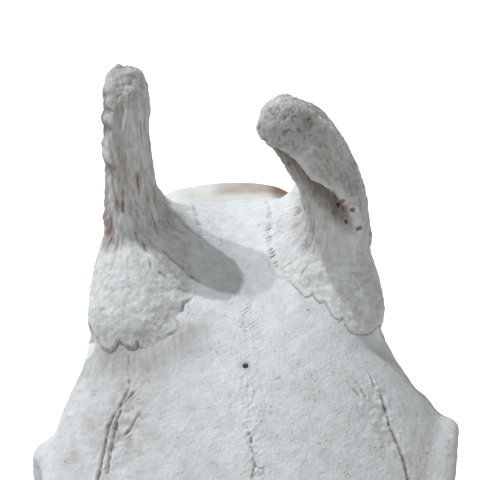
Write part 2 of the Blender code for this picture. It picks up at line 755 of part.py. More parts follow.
clear_scene()
bones = skull_bones()
place = rest_place(bones)
skull = bpy.data.collections.new("giraffe_skull")
bpy.context.scene.collection.children.link(skull)
for name, bone in bones.items():
    bone.data.transform(place)
for side in ("mandible_left", "mandible_right"):
    rest_flats(bones[side])
for name, bone in bones.items():
    finished(name, bone, skull)
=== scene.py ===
import math

import bmesh
import bpy
import numpy as np
from mathutils import Matrix, Vector


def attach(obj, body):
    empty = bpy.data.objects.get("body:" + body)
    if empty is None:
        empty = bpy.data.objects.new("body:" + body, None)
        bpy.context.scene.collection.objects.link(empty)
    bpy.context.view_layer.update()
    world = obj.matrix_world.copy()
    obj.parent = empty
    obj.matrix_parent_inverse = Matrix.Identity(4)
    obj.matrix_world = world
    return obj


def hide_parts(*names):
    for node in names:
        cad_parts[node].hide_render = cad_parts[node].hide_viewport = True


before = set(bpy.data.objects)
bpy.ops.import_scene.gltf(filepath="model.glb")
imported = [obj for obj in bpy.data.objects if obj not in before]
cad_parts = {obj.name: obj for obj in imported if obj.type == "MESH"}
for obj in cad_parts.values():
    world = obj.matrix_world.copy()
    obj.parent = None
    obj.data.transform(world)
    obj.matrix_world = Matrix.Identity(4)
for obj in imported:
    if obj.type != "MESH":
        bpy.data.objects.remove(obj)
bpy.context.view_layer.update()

# The way the skull lies
# The plan is in millimetres: x to the animal's left, s back from the tip of the snout, h up from the
# grinding plane of the cheek teeth. Resting on its chin and the angles of its jaw dips the nose.
DIP = math.radians(5.6544)
place = Matrix.Scale(0.001, 4) @ Matrix.Translation((-0.0866, -308.978, 30.462))
place = place @ Matrix.Rotation(DIP, 4, "X")


# Face, cheeks, braincase and base, still one bone mass
# Real skull bones grow together edge to edge, so they are first shaped as one mass of bone, with the
# hollow of the nose, the eye sockets, the brain's opening and the slots of the palate cut out of it.


def through(points):
    """A smooth curve through rows of a place and its values."""
    rows = np.array(points, float)
    places, values = rows[:, 0], rows[:, 1:]
    slopes = np.gradient(values, places, axis=0)

    def at(where):
        where = min(max(where, places[0]), places[-1])
        i = min(int(np.searchsorted(places, where, side="right")) - 1, len(places) - 2)
        step = places[i + 1] - places[i]
        t = (where - places[i]) / step
        rise = (3 - 2 * t) * t * t
        found = values[i] * (1 - rise) + values[i + 1] * rise
        found = found + slopes[i] * t * (1 - t) ** 2 * step + slopes[i + 1] * t * t * (t - 1) * step
        return found if len(found) > 1 else float(found[0])

    return at


def linked(name, data):
    """A new object of the scene, with its mesh, lamp or camera."""
    obj = bpy.data.objects.new(name, data)
    bpy.context.scene.collection.objects.link(obj)
    return obj


def opened(*meshes):
    """All the meshes together, ready to be worked on."""
    bm = bmesh.new()
    for mesh in meshes:
        bm.from_mesh(mesh)
    return bm


def written(bm, mesh):
    bm.to_mesh(mesh)
    bm.free()
    return mesh


def loft(rings):
    """A closed skin through rings of equally many points, with a fan at each end."""
    count = len(rings[0])
    points = [tuple(p) for ring in rings for p in ring]
    faces = []
    for k in range(len(rings) - 1):
        for i in range(count):
            j = (i + 1) % count
            faces.append((k * count + i, k * count + j, (k + 1) * count + j, (k + 1) * count + i))
    for first, turn in ((0, -1), ((len(rings) - 1) * count, 1)):
        points.append(tuple(np.mean(np.array(points[first:first + count]), axis=0)))
        hub = len(points) - 1
        for i in range(count):
            pair = (first + i, first + (i + 1) % count)
            faces.append((hub, *pair[::turn]))
    mesh = bpy.data.meshes.new("loft")
    mesh.from_pydata(points, [], faces)
    bm = opened(mesh)
    bmesh.ops.recalc_face_normals(bm, faces=bm.faces)
    return linked("loft", written(bm, mesh))


def bar(stations, across=(1, 0, 0), sides=20, steps=6, cap=0.6, power=2.0):
    """A bar of bone through stations of x, s, h, half width and half depth, with rounded ends."""
    rows = np.array(stations, float)
    at = through([(i, *row) for i, row in enumerate(rows)])
    line = np.array([at(t) for t in np.linspace(0, len(rows) - 1, (len(rows) - 1) * steps + 1)])
    tangents = np.gradient(line[:, :3], axis=0)
    tangents /= np.linalg.norm(tangents, axis=1)[:, None]
    turns = np.linspace(0, 2 * math.pi, sides, endpoint=False)

    def ring(centre, tangent, wide, deep):
        u = np.array(across, float) - np.dot(across, tangent) * tangent
        u /= np.linalg.norm(u)
        v = np.cross(tangent, u)
        found = []
        for a in turns:
            c, s = math.cos(a), math.sin(a)
            reach = (abs(c) ** power + abs(s) ** power) ** (-1 / power)
            found.append(centre + u * wide * c * reach + v * deep * s * reach)
        return found

    rings = [ring(row[:3], t, row[3], row[4]) for row, t in zip(line, tangents)]
    for end, way in ((0, -1), (-1, 1)):
        centre, tangent = line[end, :3], tangents[end]
        wide, deep = line[end, 3:5]
        for lean in (0.5, 0.85, 0.98):
            out = centre + tangent * way * lean * cap * min(wide, deep)
            share = math.sqrt(1 - lean ** 2)
            made = ring(out, tangent, wide * share, deep * share)
            rings = [made] + rings if way < 0 else rings + [made]
    return loft(rings)


def knob(centre, radii, turn=(0, 0, 0)):
    """A rounded lump of bone, turned by angles in degrees."""
    bm = bmesh.new()
    bmesh.ops.create_uvsphere(bm, u_segments=24, v_segments=12, radius=1.0)
    mesh = written(bm, bpy.data.meshes.new("knob"))
    over_x, over_y, over_z = (Matrix.Rotation(math.radians(a), 4, axis) for a, axis in zip(turn, "XYZ"))
    spin = over_z @ over_y @ over_x
    mesh.transform(Matrix.Translation(centre) @ spin @ Matrix.Diagonal((*radii, 1)))
    return linked("knob", mesh)


def other_side(obj):
    """The same piece on the animal's right."""
    twin = linked(obj.name, obj.data.copy())
    twin.data.transform(Matrix.Diagonal((-1, 1, 1, 1)))
    twin.data.flip_normals()
    return twin


def paired(pieces):
    """The pieces with their twins on the right."""
    return pieces + [other_side(piece) for piece in pieces]


def settled(obj):
    """Takes the finished shape of the object's modifiers as its mesh."""
    graph = bpy.context.evaluated_depsgraph_get()
    mesh = bpy.data.meshes.new_from_object(obj.evaluated_get(graph))
    obj.modifiers.clear()
    obj.data = mesh
    return obj


def massed(name, pieces):
    """One object of all the pieces, which may still run through each other."""
    bm = opened(*(piece.data for piece in pieces))
    for piece in pieces:
        bpy.data.objects.remove(piece, do_unlink=True)
    return linked(name, written(bm, bpy.data.meshes.new(name)))


def grown(obj, grain, rounds):
    """One closed skin round all the shells of a mass, smoothed so that they flow together."""
    skin = obj.modifiers.new("skin", "REMESH")
    skin.mode = "VOXEL"
    skin.voxel_size = grain
    smooth = obj.modifiers.new("smooth", "SMOOTH")
    smooth.factor = 0.5
    smooth.iterations = rounds
    return settled(obj)


def cut(obj, other, operation="DIFFERENCE"):
    """Cuts another solid away, or joins it on, or keeps what both share. The other one is used up."""
    knife = obj.modifiers.new("knife", "BOOLEAN")
    knife.solver = "MANIFOLD"
    knife.operation = operation
    knife.object = other
    settled(obj)
    bpy.data.objects.remove(other, do_unlink=True)
    return obj


def one_body(obj):
    """Keeps the largest closed surface of a bone, without crumbs from a cut."""
    bm = opened(obj.data)
    left = set(bm.verts)
    groups = []
    while left:
        group = [left.pop()]
        for vert in group:
            for link in vert.link_edges:
                other = link.other_vert(vert)
                if other in left:
                    left.remove(other)
                    group.append(other)
        groups.append(group)
    groups.sort(key=len)
    for group in groups[:-1]:
        bmesh.ops.delete(bm, geom=group, context="VERTS")
    if len(groups) > 1:
        bm.to_mesh(obj.data)
    bm.free()
    return obj


# The cross sections of the mass: each row is a place s, then a height h, or x and h
ROOF = through([
    (185, 97), (200, 102), (260, 125), (320, 149), (365, 169), (400, 180), (440, 186),
    (490, 185), (530, 177), (560, 157), (595, 128), (622, 104),
])
ROOF_SIDE = through([
    (185, 10, 96), (200, 12, 101), (260, 18, 124), (310, 26, 142), (335, 35, 152), (360, 46, 162),
    (400, 52, 174), (440, 48, 183), (490, 42, 187), (530, 38, 182), (565, 35, 156), (600, 31, 126),
    (622, 27, 104),
])
BROW = through([
    (185, 20, 89), (200, 23, 93), (260, 34, 113), (300, 46, 127), (325, 60, 134), (345, 76, 141),
    (360, 86, 148), (380, 93, 153), (400, 91, 156), (420, 86, 156), (440, 80, 155), (480, 74, 154),
    (530, 68, 141), (565, 59, 121), (600, 52, 102), (622, 45, 90),
])
WALL = through([
    (185, 31, 67), (200, 35, 70), (260, 54, 78), (300, 64, 86), (325, 72, 96), (345, 77, 104),
    (360, 72, 106), (380, 54, 106), (420, 46, 112), (450, 45, 118), (490, 51, 112), (530, 55, 103),
    (565, 55, 90), (600, 54, 78), (622, 47, 72),
])
FLANK = through([
    (185, 38, 38), (200, 41, 38), (260, 57, 40), (310, 65, 42), (345, 63, 46), (375, 52, 54),
    (410, 38, 62), (450, 36, 70), (490, 46, 66), (530, 50, 60), (565, 50, 55), (600, 50, 52),
    (622, 42, 56),
])
RIM_OUT = through([
    (185, 39, 16), (200, 41, 14), (260, 54, 13), (320, 61, 13), (355, 60, 14), (382, 50, 22),
    (405, 30, 46), (440, 22, 55), (490, 24, 50), (530, 26, 44), (600, 27, 38), (622, 24, 48),
])
RIM_IN = through([
    (185, 24, 14), (200, 25, 13), (260, 28, 13), (320, 32, 13), (355, 34, 15), (382, 30, 26),
    (405, 16, 52), (440, 12, 57), (490, 13, 51), (530, 14, 44), (600, 14, 37), (622, 12, 46),
])
PALATE = through([
    (185, 22), (200, 24), (260, 31), (320, 35), (360, 39), (385, 46), (405, 54), (440, 58),
    (490, 52), (530, 45), (600, 37), (622, 45),
])
ORBIT = Vector((93, 378, 122))
ORBIT_RADIUS = 29.5
# The right brow stands a little further out than the left
SKEW = through([(320, 0), (400, 1), (470, 1), (540, 0)])


def section(s):
    """The closed outline across the skull at a place s."""
    edges = (ROOF_SIDE, BROW, WALL, FLANK, RIM_OUT, RIM_IN)
    half = [(0, ROOF(s)), *(edge(s) for edge in edges), (0, PALATE(s))]
    loop = half + [(-x, h) for x, h in half[-2:0:-1]]
    count = len(loop)
    bend = through([(i, *loop[i % count]) for i in range(-2, count + 3)])
    left, right = 1 - 0.03 * SKEW(s), 1 + 0.035 * SKEW(s)
    turns = np.linspace(0, count, count * 5, endpoint=False)
    return [(x * (left if x > 0 else right), s, h) for x, h in (bend(t) for t in turns)]


def skull_skin():
    """The skin through all the cross sections, from the nose opening to the back of the skull."""
    front, rear, sections = 185, 622, 76
    return loft([section(s) for s in np.linspace(front, rear, sections)])


body = skull_skin()
cut(body, bar([
    (0, 150, 52, 29, 30), (0, 185, 61, 27, 27), (0, 210, 67, 26, 27), (0, 240, 75, 28, 31),
    (0, 275, 84, 31, 34), (0, 310, 94, 30, 34), (0, 335, 101, 20, 22),
]))

snout = paired([
    bar([
        (16, 5, 9, 10, 5), (22, 20, 11, 10, 7), (23.5, 50, 17, 6.5, 9), (23, 85, 28, 5.2, 12),
        (24, 120, 41, 4.8, 14), (26, 155, 57, 4.6, 15), (28, 190, 74, 4.6, 14), (29, 215, 86, 4.2, 12),
        (29, 240, 98, 4, 8),
    ]),
    bar([
        (22, 52, 12, 4, 5), (25, 100, 18, 7.5, 11), (29, 145, 27, 8.5, 16), (34, 190, 38, 7, 22),
        (40, 215, 42, 6, 22), (46, 250, 46, 5, 20),
    ]),
    bar([
        (6, 172, 87, 2.6, 2.4), (8, 188, 92, 5.5, 3.6), (10, 210, 100, 9, 4.6), (12, 235, 109, 11, 5.5),
        (13, 262, 118, 12, 5.5),
    ]),
]) + [
    bar([
        (0, 10, 8, 14, 3.5), (0, 28, 9, 13, 3.6), (0, 100, 13, 20, 3.8), (0, 160, 20, 28, 4),
        (0, 230, 28, 34, 5),
    ]),
    bar([(0, 120, 22, 3, 8), (0, 170, 32, 3, 13), (0, 240, 46, 3, 20), (0, 320, 66, 3.4, 26)]),
]

bpy.ops.mesh.primitive_torus_add(
    major_radius=ORBIT_RADIUS + 4, minor_radius=6.5, major_segments=40, minor_segments=12
)
socket_rim = bpy.context.object
lie = Vector((0.94, -0.30, 0.10)).to_track_quat("Z", "Y").to_matrix().to_4x4()
socket_rim.data.transform(Matrix.Translation(ORBIT) @ lie)
cheeks = paired([
    socket_rim,
    bar([(84, 408, 152, 8, 13), (92, 410, 134, 7, 10), (96, 411, 112, 7, 9), (95, 409, 88, 8, 12)]),
    bar([
        (52, 270, 44, 4, 8), (62, 305, 58, 9, 14), (75, 335, 74, 11, 16), (86, 362, 84, 9, 14),
        (94, 390, 87, 8, 12), (95, 415, 88, 7.5, 12), (93, 445, 91, 6.4, 11), (87, 472, 95, 6, 10),
        (76, 498, 98, 8, 11), (56, 522, 98, 12, 13),
    ]),
    knob((63, 506, 90), (27, 19, 10)),
    bar([(46, 526, 86, 9, 9), (62, 527, 80, 8, 12), (76, 524, 84, 6, 8)], across=(0, 1, 0)),
])

base = [bar([(0, 420, 62, 14, 9), (0, 470, 58, 17, 11), (0, 530, 50, 20, 11), (0, 600, 44, 26, 12)])]
base += paired([
    bar([
        (27, 362, 28, 5, 10), (24, 388, 38, 4.6, 18), (21, 418, 46, 4.4, 19), (21, 452, 54, 5, 13),
        (22, 480, 60, 5, 8),
    ]),
    knob((38, 545, 47), (13, 19, 15)),
    bar([(38, 548, 62, 15, 15), (58, 548, 73, 13, 13), (68, 546, 79, 9, 9)], across=(0, 1, 0)),
    bar([
        (50, 582, 74, 14, 20), (53, 588, 46, 9, 15), (52, 592, 20, 6.5, 11), (50, 595, 4, 4.5, 6),
    ]),
    bar([(50, 548, 108, 13, 22), (57, 572, 92, 14, 24), (55, 594, 74, 12, 18)]),
])

back = paired([
    bar([
        (36, 600, 70, 10, 12), (31, 612, 62, 13, 18), (23, 622, 49, 13, 16), (13, 622, 38, 9, 8),
    ], across=(0.8, 0.6, 0)),
]) + [
    bar([
        (-50, 592, 94, 8, 9), (-43, 599, 112.5, 6, 12), (-31, 606, 120, 5.5, 14), (0, 609, 121, 5.5, 15),
        (31, 606, 120, 5.5, 14), (43, 599, 112.5, 6, 12), (50, 592, 94, 8, 9),
    ], across=(0, 0, 1)),
    bar([(0, 612, 106, 6, 9), (0, 621, 90, 4.5, 7)]),
]

# The ossicones' feet and stems: the right one stands tall and flat, the left one is thick and bent
FEET = (
    (
        (51, 436, 175, 16, 8), (51, 446, 176, 24, 13), (50, 456, 176, 28, 17), (49, 468, 175, 29, 22),
        (48, 482, 174, 29.5, 26), (47, 497, 173, 28.5, 29), (44, 512, 170, 27, 28),
        (41, 528, 163, 23, 23), (37, 546, 154, 13, 12),
    ),
    (
        (38, 446, 178, 12, 5), (36, 456, 179, 16, 8), (34, 468, 180, 19, 10), (33, 482, 181, 19, 12),
        (34, 496, 180, 19, 14), (36, 510, 177, 18, 17), (38, 523, 172, 16, 19), (40, 536, 164, 13, 17),
        (40, 548, 154, 10, 13),
    ),
    ((43, 500, 186, 9, 11), (44, 512, 189, 9, 15), (44.5, 524, 188, 9, 17), (45, 536, 178, 8, 14)),
)
# The left foot stands a little nearer to the middle
LEFT_OUT, RIGHT_OUT = 0.93, -1.0
horns = [bar([(out * x, *rest) for x, *rest in rows]) for out in (LEFT_OUT, RIGHT_OUT) for rows in FEET]
LEFT_STEM = (
    (52, 488, 168, 22, 34), (52, 492, 190, 17.5, 26), (52, 499, 208, 16, 23), (47, 507, 225, 16, 21),
    (36.5, 512, 242, 16.5, 19), (22.5, 513, 257, 13, 14),
)
RIGHT_STEM = (
    (-52, 504, 176, 21, 33), (-53, 512, 196, 15.5, 23), (-53.5, 520, 216, 13, 21.5),
    (-54, 529, 238, 12, 21), (-52.5, 538, 255, 12, 18), (-51.5, 543, 264, 9.5, 12.5),
)
horns += [bar(LEFT_STEM), bar(RIGHT_STEM)]

MASS_GRAIN = 2.6
mass = grown(massed("mass", [body, *snout, *cheeks, *base, *back, *horns]), MASS_GRAIN, 7)
socket = knob(ORBIT + Vector((-21, 5, 0)), (47, ORBIT_RADIUS, ORBIT_RADIUS), turn=(0, -6, -18))
for hollow in paired([
    socket,
    bar([(9, 40, 9, 4, 14), (8.5, 60, 11, 5, 14), (8.5, 90, 13, 3.5, 14)], cap=1.0),
    bar([(50, 547, 68, 4.8, 4.8), (90, 544, 92, 5.4, 5.4)], across=(0, 1, 0)),
]) + [
    bar([(0, 345, 66, 14, 12), (0, 385, 52, 15, 16), (0, 425, 34, 15, 18)]),
    bar([(0, 665, 62, 17.5, 19), (0, 615, 66, 17.5, 18.5), (0, 560, 74, 17, 17)]),
]:
    cut(mass, hollow)
mass = grown(one_body(mass), MASS_GRAIN, 3)


# The surface of the bone mass
# Dry bone is never smooth: it swells and dips, it is pitted with tiny pores, and its seams, grooves and
# cracks are cut into it. The mass is divided finely, finest over the brow and the ossicones.


def divided(obj):
    """Divides every face in four and rounds it off."""
    finer = obj.modifiers.new("finer", "SUBSURF")
    finer.levels = finer.render_levels = 1
    settled(obj)


def places_of(mesh):
    found = np.zeros(len(mesh.vertices) * 3)
    mesh.vertices.foreach_get("co", found)
    return found.reshape(-1, 3)


def facings_of(mesh):
    found = np.zeros(len(mesh.vertices) * 3, np.float32)
    mesh.vertex_normals.foreach_get("vector", found)
    return found.reshape(-1, 3).astype(float)


def refined(obj, wanted):
    """Divides once more every edge whose two ends pass the test."""
    mesh = obj.data
    keep = wanted(places_of(mesh), facings_of(mesh))
    bm = opened(mesh)
    edges = [e for e in bm.edges if keep[e.verts[0].index] and keep[e.verts[1].index]]
    bmesh.ops.subdivide_edges(bm, edges=edges, cuts=1, use_grid_fill=True, smooth=0.0)
    written(bm, mesh)


def pushed(obj, points, facing, move):
    """Moves each point along its facing."""
    obj.data.vertices.foreach_set("co", (points + facing * move[:, None]).ravel())
    obj.data.update()


def painted(obj, layer, values):
    """Says for each point how brown or how grey it is."""
    found = obj.data.attributes.get(layer) or obj.data.attributes.new(layer, "FLOAT", "POINT")
    found.data.foreach_set("value", np.asarray(values, np.float32))


def scattered(cells, seed):
    """A repeatable random value between 0 and 1 for each cell of a grid."""
    code = cells[:, 0] * 73856093 ^ cells[:, 1] * 19349663 ^ cells[:, 2] * 83492791
    code = (code + seed * 2654435761) & 0x7FFFFFFF
    code = (code ^ (code >> 15)) * 1103515245 & 0x7FFFFFFF
    code = (code ^ (code >> 13)) * 12820163 & 0x7FFFFFFF
    return ((code ^ (code >> 16)) & 0xFFFF) / 65535.0


def swell(points, size, seed):
    """Soft random rises and dips, between -1 and 1, about a size apart."""
    spots = points / size
    cells = np.floor(spots).astype(np.int64)
    share = spots - cells
    share = share * share * (3 - 2 * share)
    total = np.zeros(len(points))
    for corner in range(8):
        step = np.array([corner & 1, corner >> 1 & 1, corner >> 2 & 1])
        weight = np.prod(np.where(step, share, 1 - share), axis=1)
        total += weight * (scattered(cells + step, seed) * 2 - 1)
    return total


def around(points, size, seed, room=1, edge=0):
    """Each cell near a point in turn, and how far the point lies from the cell's random middle."""
    spots = points / size
    cells = np.floor(spots).astype(np.int64)
    for code in range(27):
        cell = cells + np.array([code % 3 - 1, code // 3 % 3 - 1, code // 9 - 1])
        middle = cell + np.stack([scattered(cell, seed + k) for k in range(3)], axis=1) * room + edge
        yield cell, np.linalg.norm(spots - middle, axis=1)


def cobbles(points, size, seed, share=1.0):
    """Rounded bumps side by side: 1 on top of each, 0 between them. A share below 1 leaves some out."""
    best = np.zeros(len(points))
    for cell, gap in around(points, size, seed, 0.8, 0.1):
        dome = np.clip(1 - gap / 0.85, 0, 1)
        best = np.maximum(best, np.where(scattered(cell, seed + 3) < share, dome, 0))
    return best


def ease(low, high, value):
    """A soft rise from 0 at low to 1 at high, which may lie the other way round."""
    t = np.clip((value - low) / (high - low), 0, 1)
    return t * t * (3 - 2 * t)


def bell(gap, width):
    """1 where there is no gap, falling off softly over the width."""
    return np.exp(-(gap / width) ** 2)


def nearest(points, line):
    """How far each point lies from a line, how far along it and beside which spot, and its length."""
    line = np.array(line, float)
    points = points[:, :line.shape[1]]
    best, where, spots = np.full(len(points), 1e9), np.zeros(len(points)), np.zeros(points.shape)
    walked = 0.0
    for a, step in zip(line[:-1], np.diff(line, axis=0)):
        length = np.linalg.norm(step)
        t = np.clip((points - a) @ step / length ** 2, 0, 1)
        gap = np.linalg.norm(points - a - t[:, None] * step, axis=1)
        closer = gap < best
        best[closer] = gap[closer]
        where[closer] = walked + t[closer] * length
        spots[closer] = (a + t[:, None] * step)[closer]
        walked += length
    return best, where, spots, walked


def beside(points, line):
    """How far each point lies from a line in plan or in space, and how far along the line."""
    return nearest(points, line)[:2]


def within(points, outline):
    """How deep each point lies inside an outline drawn flat, below 0 outside."""
    gap = beside(points, [*outline, outline[0]])[0]
    inside = np.zeros(len(points), bool)
    for a, b in zip(outline, [*outline[1:], outline[0]]):
        spans = (a[1] > points[:, 1]) != (b[1] > points[:, 1])
        edge = a[0] + (points[:, 1] - a[1]) / ((b[1] - a[1]) or 1e-9) * (b[0] - a[0])
        inside ^= spans & (points[:, 0] < edge)
    return np.where(inside, gap, -gap)


def rounded(outline):
    """The outline with its corners cut, so that it runs in soft scallops."""
    pairs = zip(outline, [*outline[1:], outline[0]])
    return tuple(
        (a[0] * f + b[0] * (1 - f), a[1] * f + b[1] * (1 - f)) for a, b in pairs for f in (0.8, 0.2)
    )


def plates(points, size, seed):
    """1 along the cracks between irregular plates about a size across, 0 on the plates."""
    first = np.full(len(points), 9.0)
    second = np.full(len(points), 9.0)
    for _, gap in around(points, size, seed):
        second = np.minimum(second, np.maximum(first, gap))
        first = np.minimum(first, gap)
    return bell((second - first) * size, 0.55)


# The feet of the ossicones as seen from above, with the scalloped lip of each in front
RIGHT_FOOT = rounded((
    (-90, 478), (-82, 464), (-76.1, 454.8), (-72.7, 446.2), (-69, 439.1), (-65.2, 435.9), (-62.6, 436.3),
    (-60.5, 439.2), (-58.1, 436.4), (-55.3, 434.0), (-52.4, 434.1), (-51.5, 437.2), (-49.5, 433.5),
    (-47.5, 433.6), (-46, 437.9), (-43.6, 434.3), (-42.1, 437.8), (-38.3, 436.5), (-36.3, 439.1),
    (-34.3, 439.4), (-31.9, 441.7), (-31.4, 445.1), (-34.1, 447.7), (-32.6, 449.3), (-29.6, 451.4),
    (-29, 455.7), (-25.4, 458), (-22.2, 463), (-22.5, 470), (-22, 490), (-22, 515), (-22, 545),
    (-30, 562), (-50, 570), (-76, 556), (-90, 525),
))
LEFT_FOOT = rounded((
    (90, 478), (84, 460), (76, 450), (68.2, 443.8), (63.8, 438.9), (59.8, 436.2), (54.1, 435.4),
    (51.7, 436.5), (50, 439.1), (49.3, 442.3), (47.3, 441), (44.9, 442.2), (43.2, 444.8), (42.1, 447.7),
    (40.4, 450.5), (38.9, 449.8), (37.1, 451.6), (35.6, 455.7), (33, 454), (30.7, 455.3), (28.2, 460.4),
    (25.7, 464.5), (24, 467.5), (20.6, 469), (18, 473.7), (16, 478), (17, 495), (19, 515), (21, 545),
    (30, 562), (50, 570), (76, 556), (90, 525),
))
# The left stem as seen from in front: the thick bent part overhangs the column that carries it
LEFT_CLUB = (
    (21.9, 249), (26.6, 245.8), (30, 243.8), (32.9, 240), (37.2, 235.3), (42, 232.6), (47.3, 229.9),
    (50.7, 227.2), (54.2, 223.5), (56.7, 218.3), (59.4, 212.3), (61.8, 204), (66, 197), (95, 200),
    (95, 300), (-20, 300), (-20, 252), (8, 251),
)
# Clefts in the ossicones and their feet
MARKS = (
    # line in space, half width, depth, brown
    (((-56.8, 501, 223.5), (-57.1, 499, 218.6), (-57.2, 497.4, 214)), 0.8, 1.0, 0.85),
    (((-52.5, 504.3, 233), (-51.6, 501.4, 225.5), (-49.8, 497.8, 216), (-49.2, 495.7, 210.5)),
     0.6, 0.8, 0.6),
    (((-52.4, 506.1, 237.6), (-52.7, 504.5, 233)), 0.6, 0.8, 0.7),
    (((-55.2, 503.2, 230.4), (-55.4, 502.4, 228)), 0.8, 0.7, 0.8),
    (((-48.2, 488, 201.2), (-46.4, 483.1, 199.6)), 0.7, 0.9, 0.7),
    (((-44.6, 478, 198.6), (-44, 473, 197.2)), 0.7, 0.8, 0.5),
    (((-38.8, 517, 202.8), (-36, 517.4, 197.2), (-33.4, 512.7, 196.3)), 0.8, 0.7, 0.6),
    (((-28.8, 509.2, 194.2), (-25.3, 507.2, 191.4), (-21.7, 503.7, 189.3)), 0.7, 0.5, 0.45),
    (((-37.4, 483.5, 198), (-32.6, 478.6, 195.2), (-28.2, 475.7, 192.1)), 0.6, 0.8, 0.6),
    (((-24.4, 472.6, 189.9), (-20, 469.7, 188.1)), 0.7, 0.6, 0.6),
    (((-39.7, 470.5, 196), (-36.3, 467.9, 194.3)), 0.7, 0.6, 0.5),
    (((-29.6, 463.5, 190.6), (-26.5, 462.5, 189.4)), 0.9, 0.6, 0.6),
    (((22.1, 474.4, 190.4), (26.7, 475, 193.1), (29.9, 476.4, 195.1)), 0.45, 0.6, 0.4),
    (((30.2, 464.8, 192.4), (32.5, 468.4, 194.3), (35.2, 469.8, 195.5)), 0.45, 0.6, 0.4),
)
# Small holes in the left ossicone
LEFT_VENTS = ((50.1, 482.4, 223.9), (51.9, 483.6, 226.2), (56.4, 482, 221.7), (54.4, 478.3, 216.5),
              (60, 478.4, 212.2))
# The seams, and the crack and the grooves of the forehead, as seen from above
RIGHT_SEAM = ((-23.1, 568.5), (-22, 552), (-20.9, 538.6), (-19.2, 517.3), (-18, 506.6), (-18.6, 493))
LEFT_SEAM = ((22, 560), (20.5, 535), (19.6, 517), (18, 507), (17.2, 494), (18.5, 482), (20, 475))
MID_SEAM = ((-0.2, 507), (-0.6, 457), (0.6, 432.6), (-0.5, 418.4), (-0.9, 401.3), (-1, 382.1), (0, 372.3),
            (-1.4, 362), (0.4, 352))
CRACK = ((-1.2, 386), (-0.6, 383), (-1.2, 380), (-0.2, 377), (-0.5, 374.5), (0.3, 372.3), (-0.8, 370),
         (-1.7, 367), (-1.2, 364))
CRACK_LOOP = ((0.2, 372.3), (2.0, 370.6), (3.8, 371.2), (3.4, 368.6), (2.2, 368.2))
GROOVES = (
    # line, half width, depth
    (((-55.5, 415.3), (-60.2, 407.4), (-63.5, 402.8), (-65.4, 398.8), (-67.2, 390.3), (-68.5, 382.4),
      (-70.4, 374)), 0.62, 1.1),
    (((-52.1, 412.9), (-55.9, 410.4), (-59.3, 407.2), (-61.6, 400.5), (-63, 393.7), (-64.4, 387.1),
      (-66.0, 377)), 0.55, 0.9),
    (((-50.3, 402.9), (-53.2, 398.8), (-55.6, 394.6), (-57.9, 392.7)), 0.6, 0.8),
    (((-47, 405), (-49.5, 402.5), (-51.6, 399.2)), 0.4, 0.5),
    (((-56, 435.7), (-56.4, 425.5), (-55.9, 415.9)), 0.35, 0.4),
    (((58.6, 417.7), (59.4, 413.5), (60.2, 409.5)), 0.5, 0.7),
    (((46.6, 410), (49.1, 407.3), (52, 404.1)), 0.5, 0.6),
    (((49.5, 413), (52.5, 409.3), (55, 404.1)), 0.5, 0.6),
    (((62.6, 407), (63.5, 402.8), (64.5, 396.9), (64.9, 390.8), (66.6, 383.9), (68.8, 374.2),
      (69.5, 364)), 0.7, 1.1),
)
VEIN_HOLE = (-0.7, 418.6)
BROW_DENTS = ((-60, 396), (61, 392))


def foot_relief(p, foot, side, lip, reach, back, heart):
    """The lumpy foot of an ossicone with its scalloped lip, which stands proud in front of a place
    and falls off over a reach behind its edge, with painted shade along the lip's edge, and with the
    streaks that fan out from its heart."""
    px, ps, ph = p.T
    right = side < 0
    low = ease(208, 194, ph)
    deep = within(p, foot) + 0.30 * swell(p, 1.7, 9) + 0.15 * swell(p, 0.8, 10)
    front = ease(back, back - 16, ps) * low
    proud = 0.15 + 0.85 * ease(-0.45, 0.35, swell(p, 6.5, 13) + 0.5 * ease(-44, -56, px))
    past = np.exp(-np.clip(deep, 0, None) / reach)
    add = front * lip * proud * ease(-0.2, 0.9, deep) * (0.4 + 0.6 * past)
    add -= front * 0.45 * lip * proud * bell(deep + 0.7, 0.6)
    # Painted shade: a narrow dark line just outside the lip's edge, darker where the lip stands prouder
    dark = front * bell(deep + 0.35, 0.42) * (0.10 + 0.32 * proud)
    tan = front * bell(deep + 0.2, 0.38) * (0.60 + 0.35 * swell(p, 5, 17))
    dark += 0.20 * front * ease(12, 0, deep) * ease(-0.5, 0.2, deep) * right
    on = ease(0, 3, deep) * low
    lumps = cobbles(p, 2.6, 12, 0.55)
    calm = 1 - 0.75 * ease(38, 30, px) * ease(462, 474, ps) * (not right)
    add += on * calm * (0.26 * swell(p, 3.1, 11) + 0.5 * (lumps - 0.2) * ease(520, 470, ps))
    dark += on * calm * (0.10 * cobbles(p, 3.3, 14, 0.25) + 0.14 * ease(0.15, 0.0, lumps) + 0.11)
    fx, fs = px - heart[0], ps - heart[1]
    out = np.hypot(fx, fs) + 0.01
    fan = np.stack([fx / out * 13, fs / out * 13, out * 0.09], axis=1)
    ray = swell(fan, 1.3, 15 + side) + 0.55 * swell(fan, 0.6, 18 + side)
    high = ease(40, 20, out) * ease(180, 190, ph) * ease(224, 206, ph)
    add += 0.65 * ray * high * (0.35 + 0.65 * calm)
    dark += 0.16 * ease(0.3, 1.0, -ray) * high * calm * right
    tan += 0.20 * ease(0.55, 1.1, -ray) * high * (1 if right else 0.5)
    return add, tan, dark


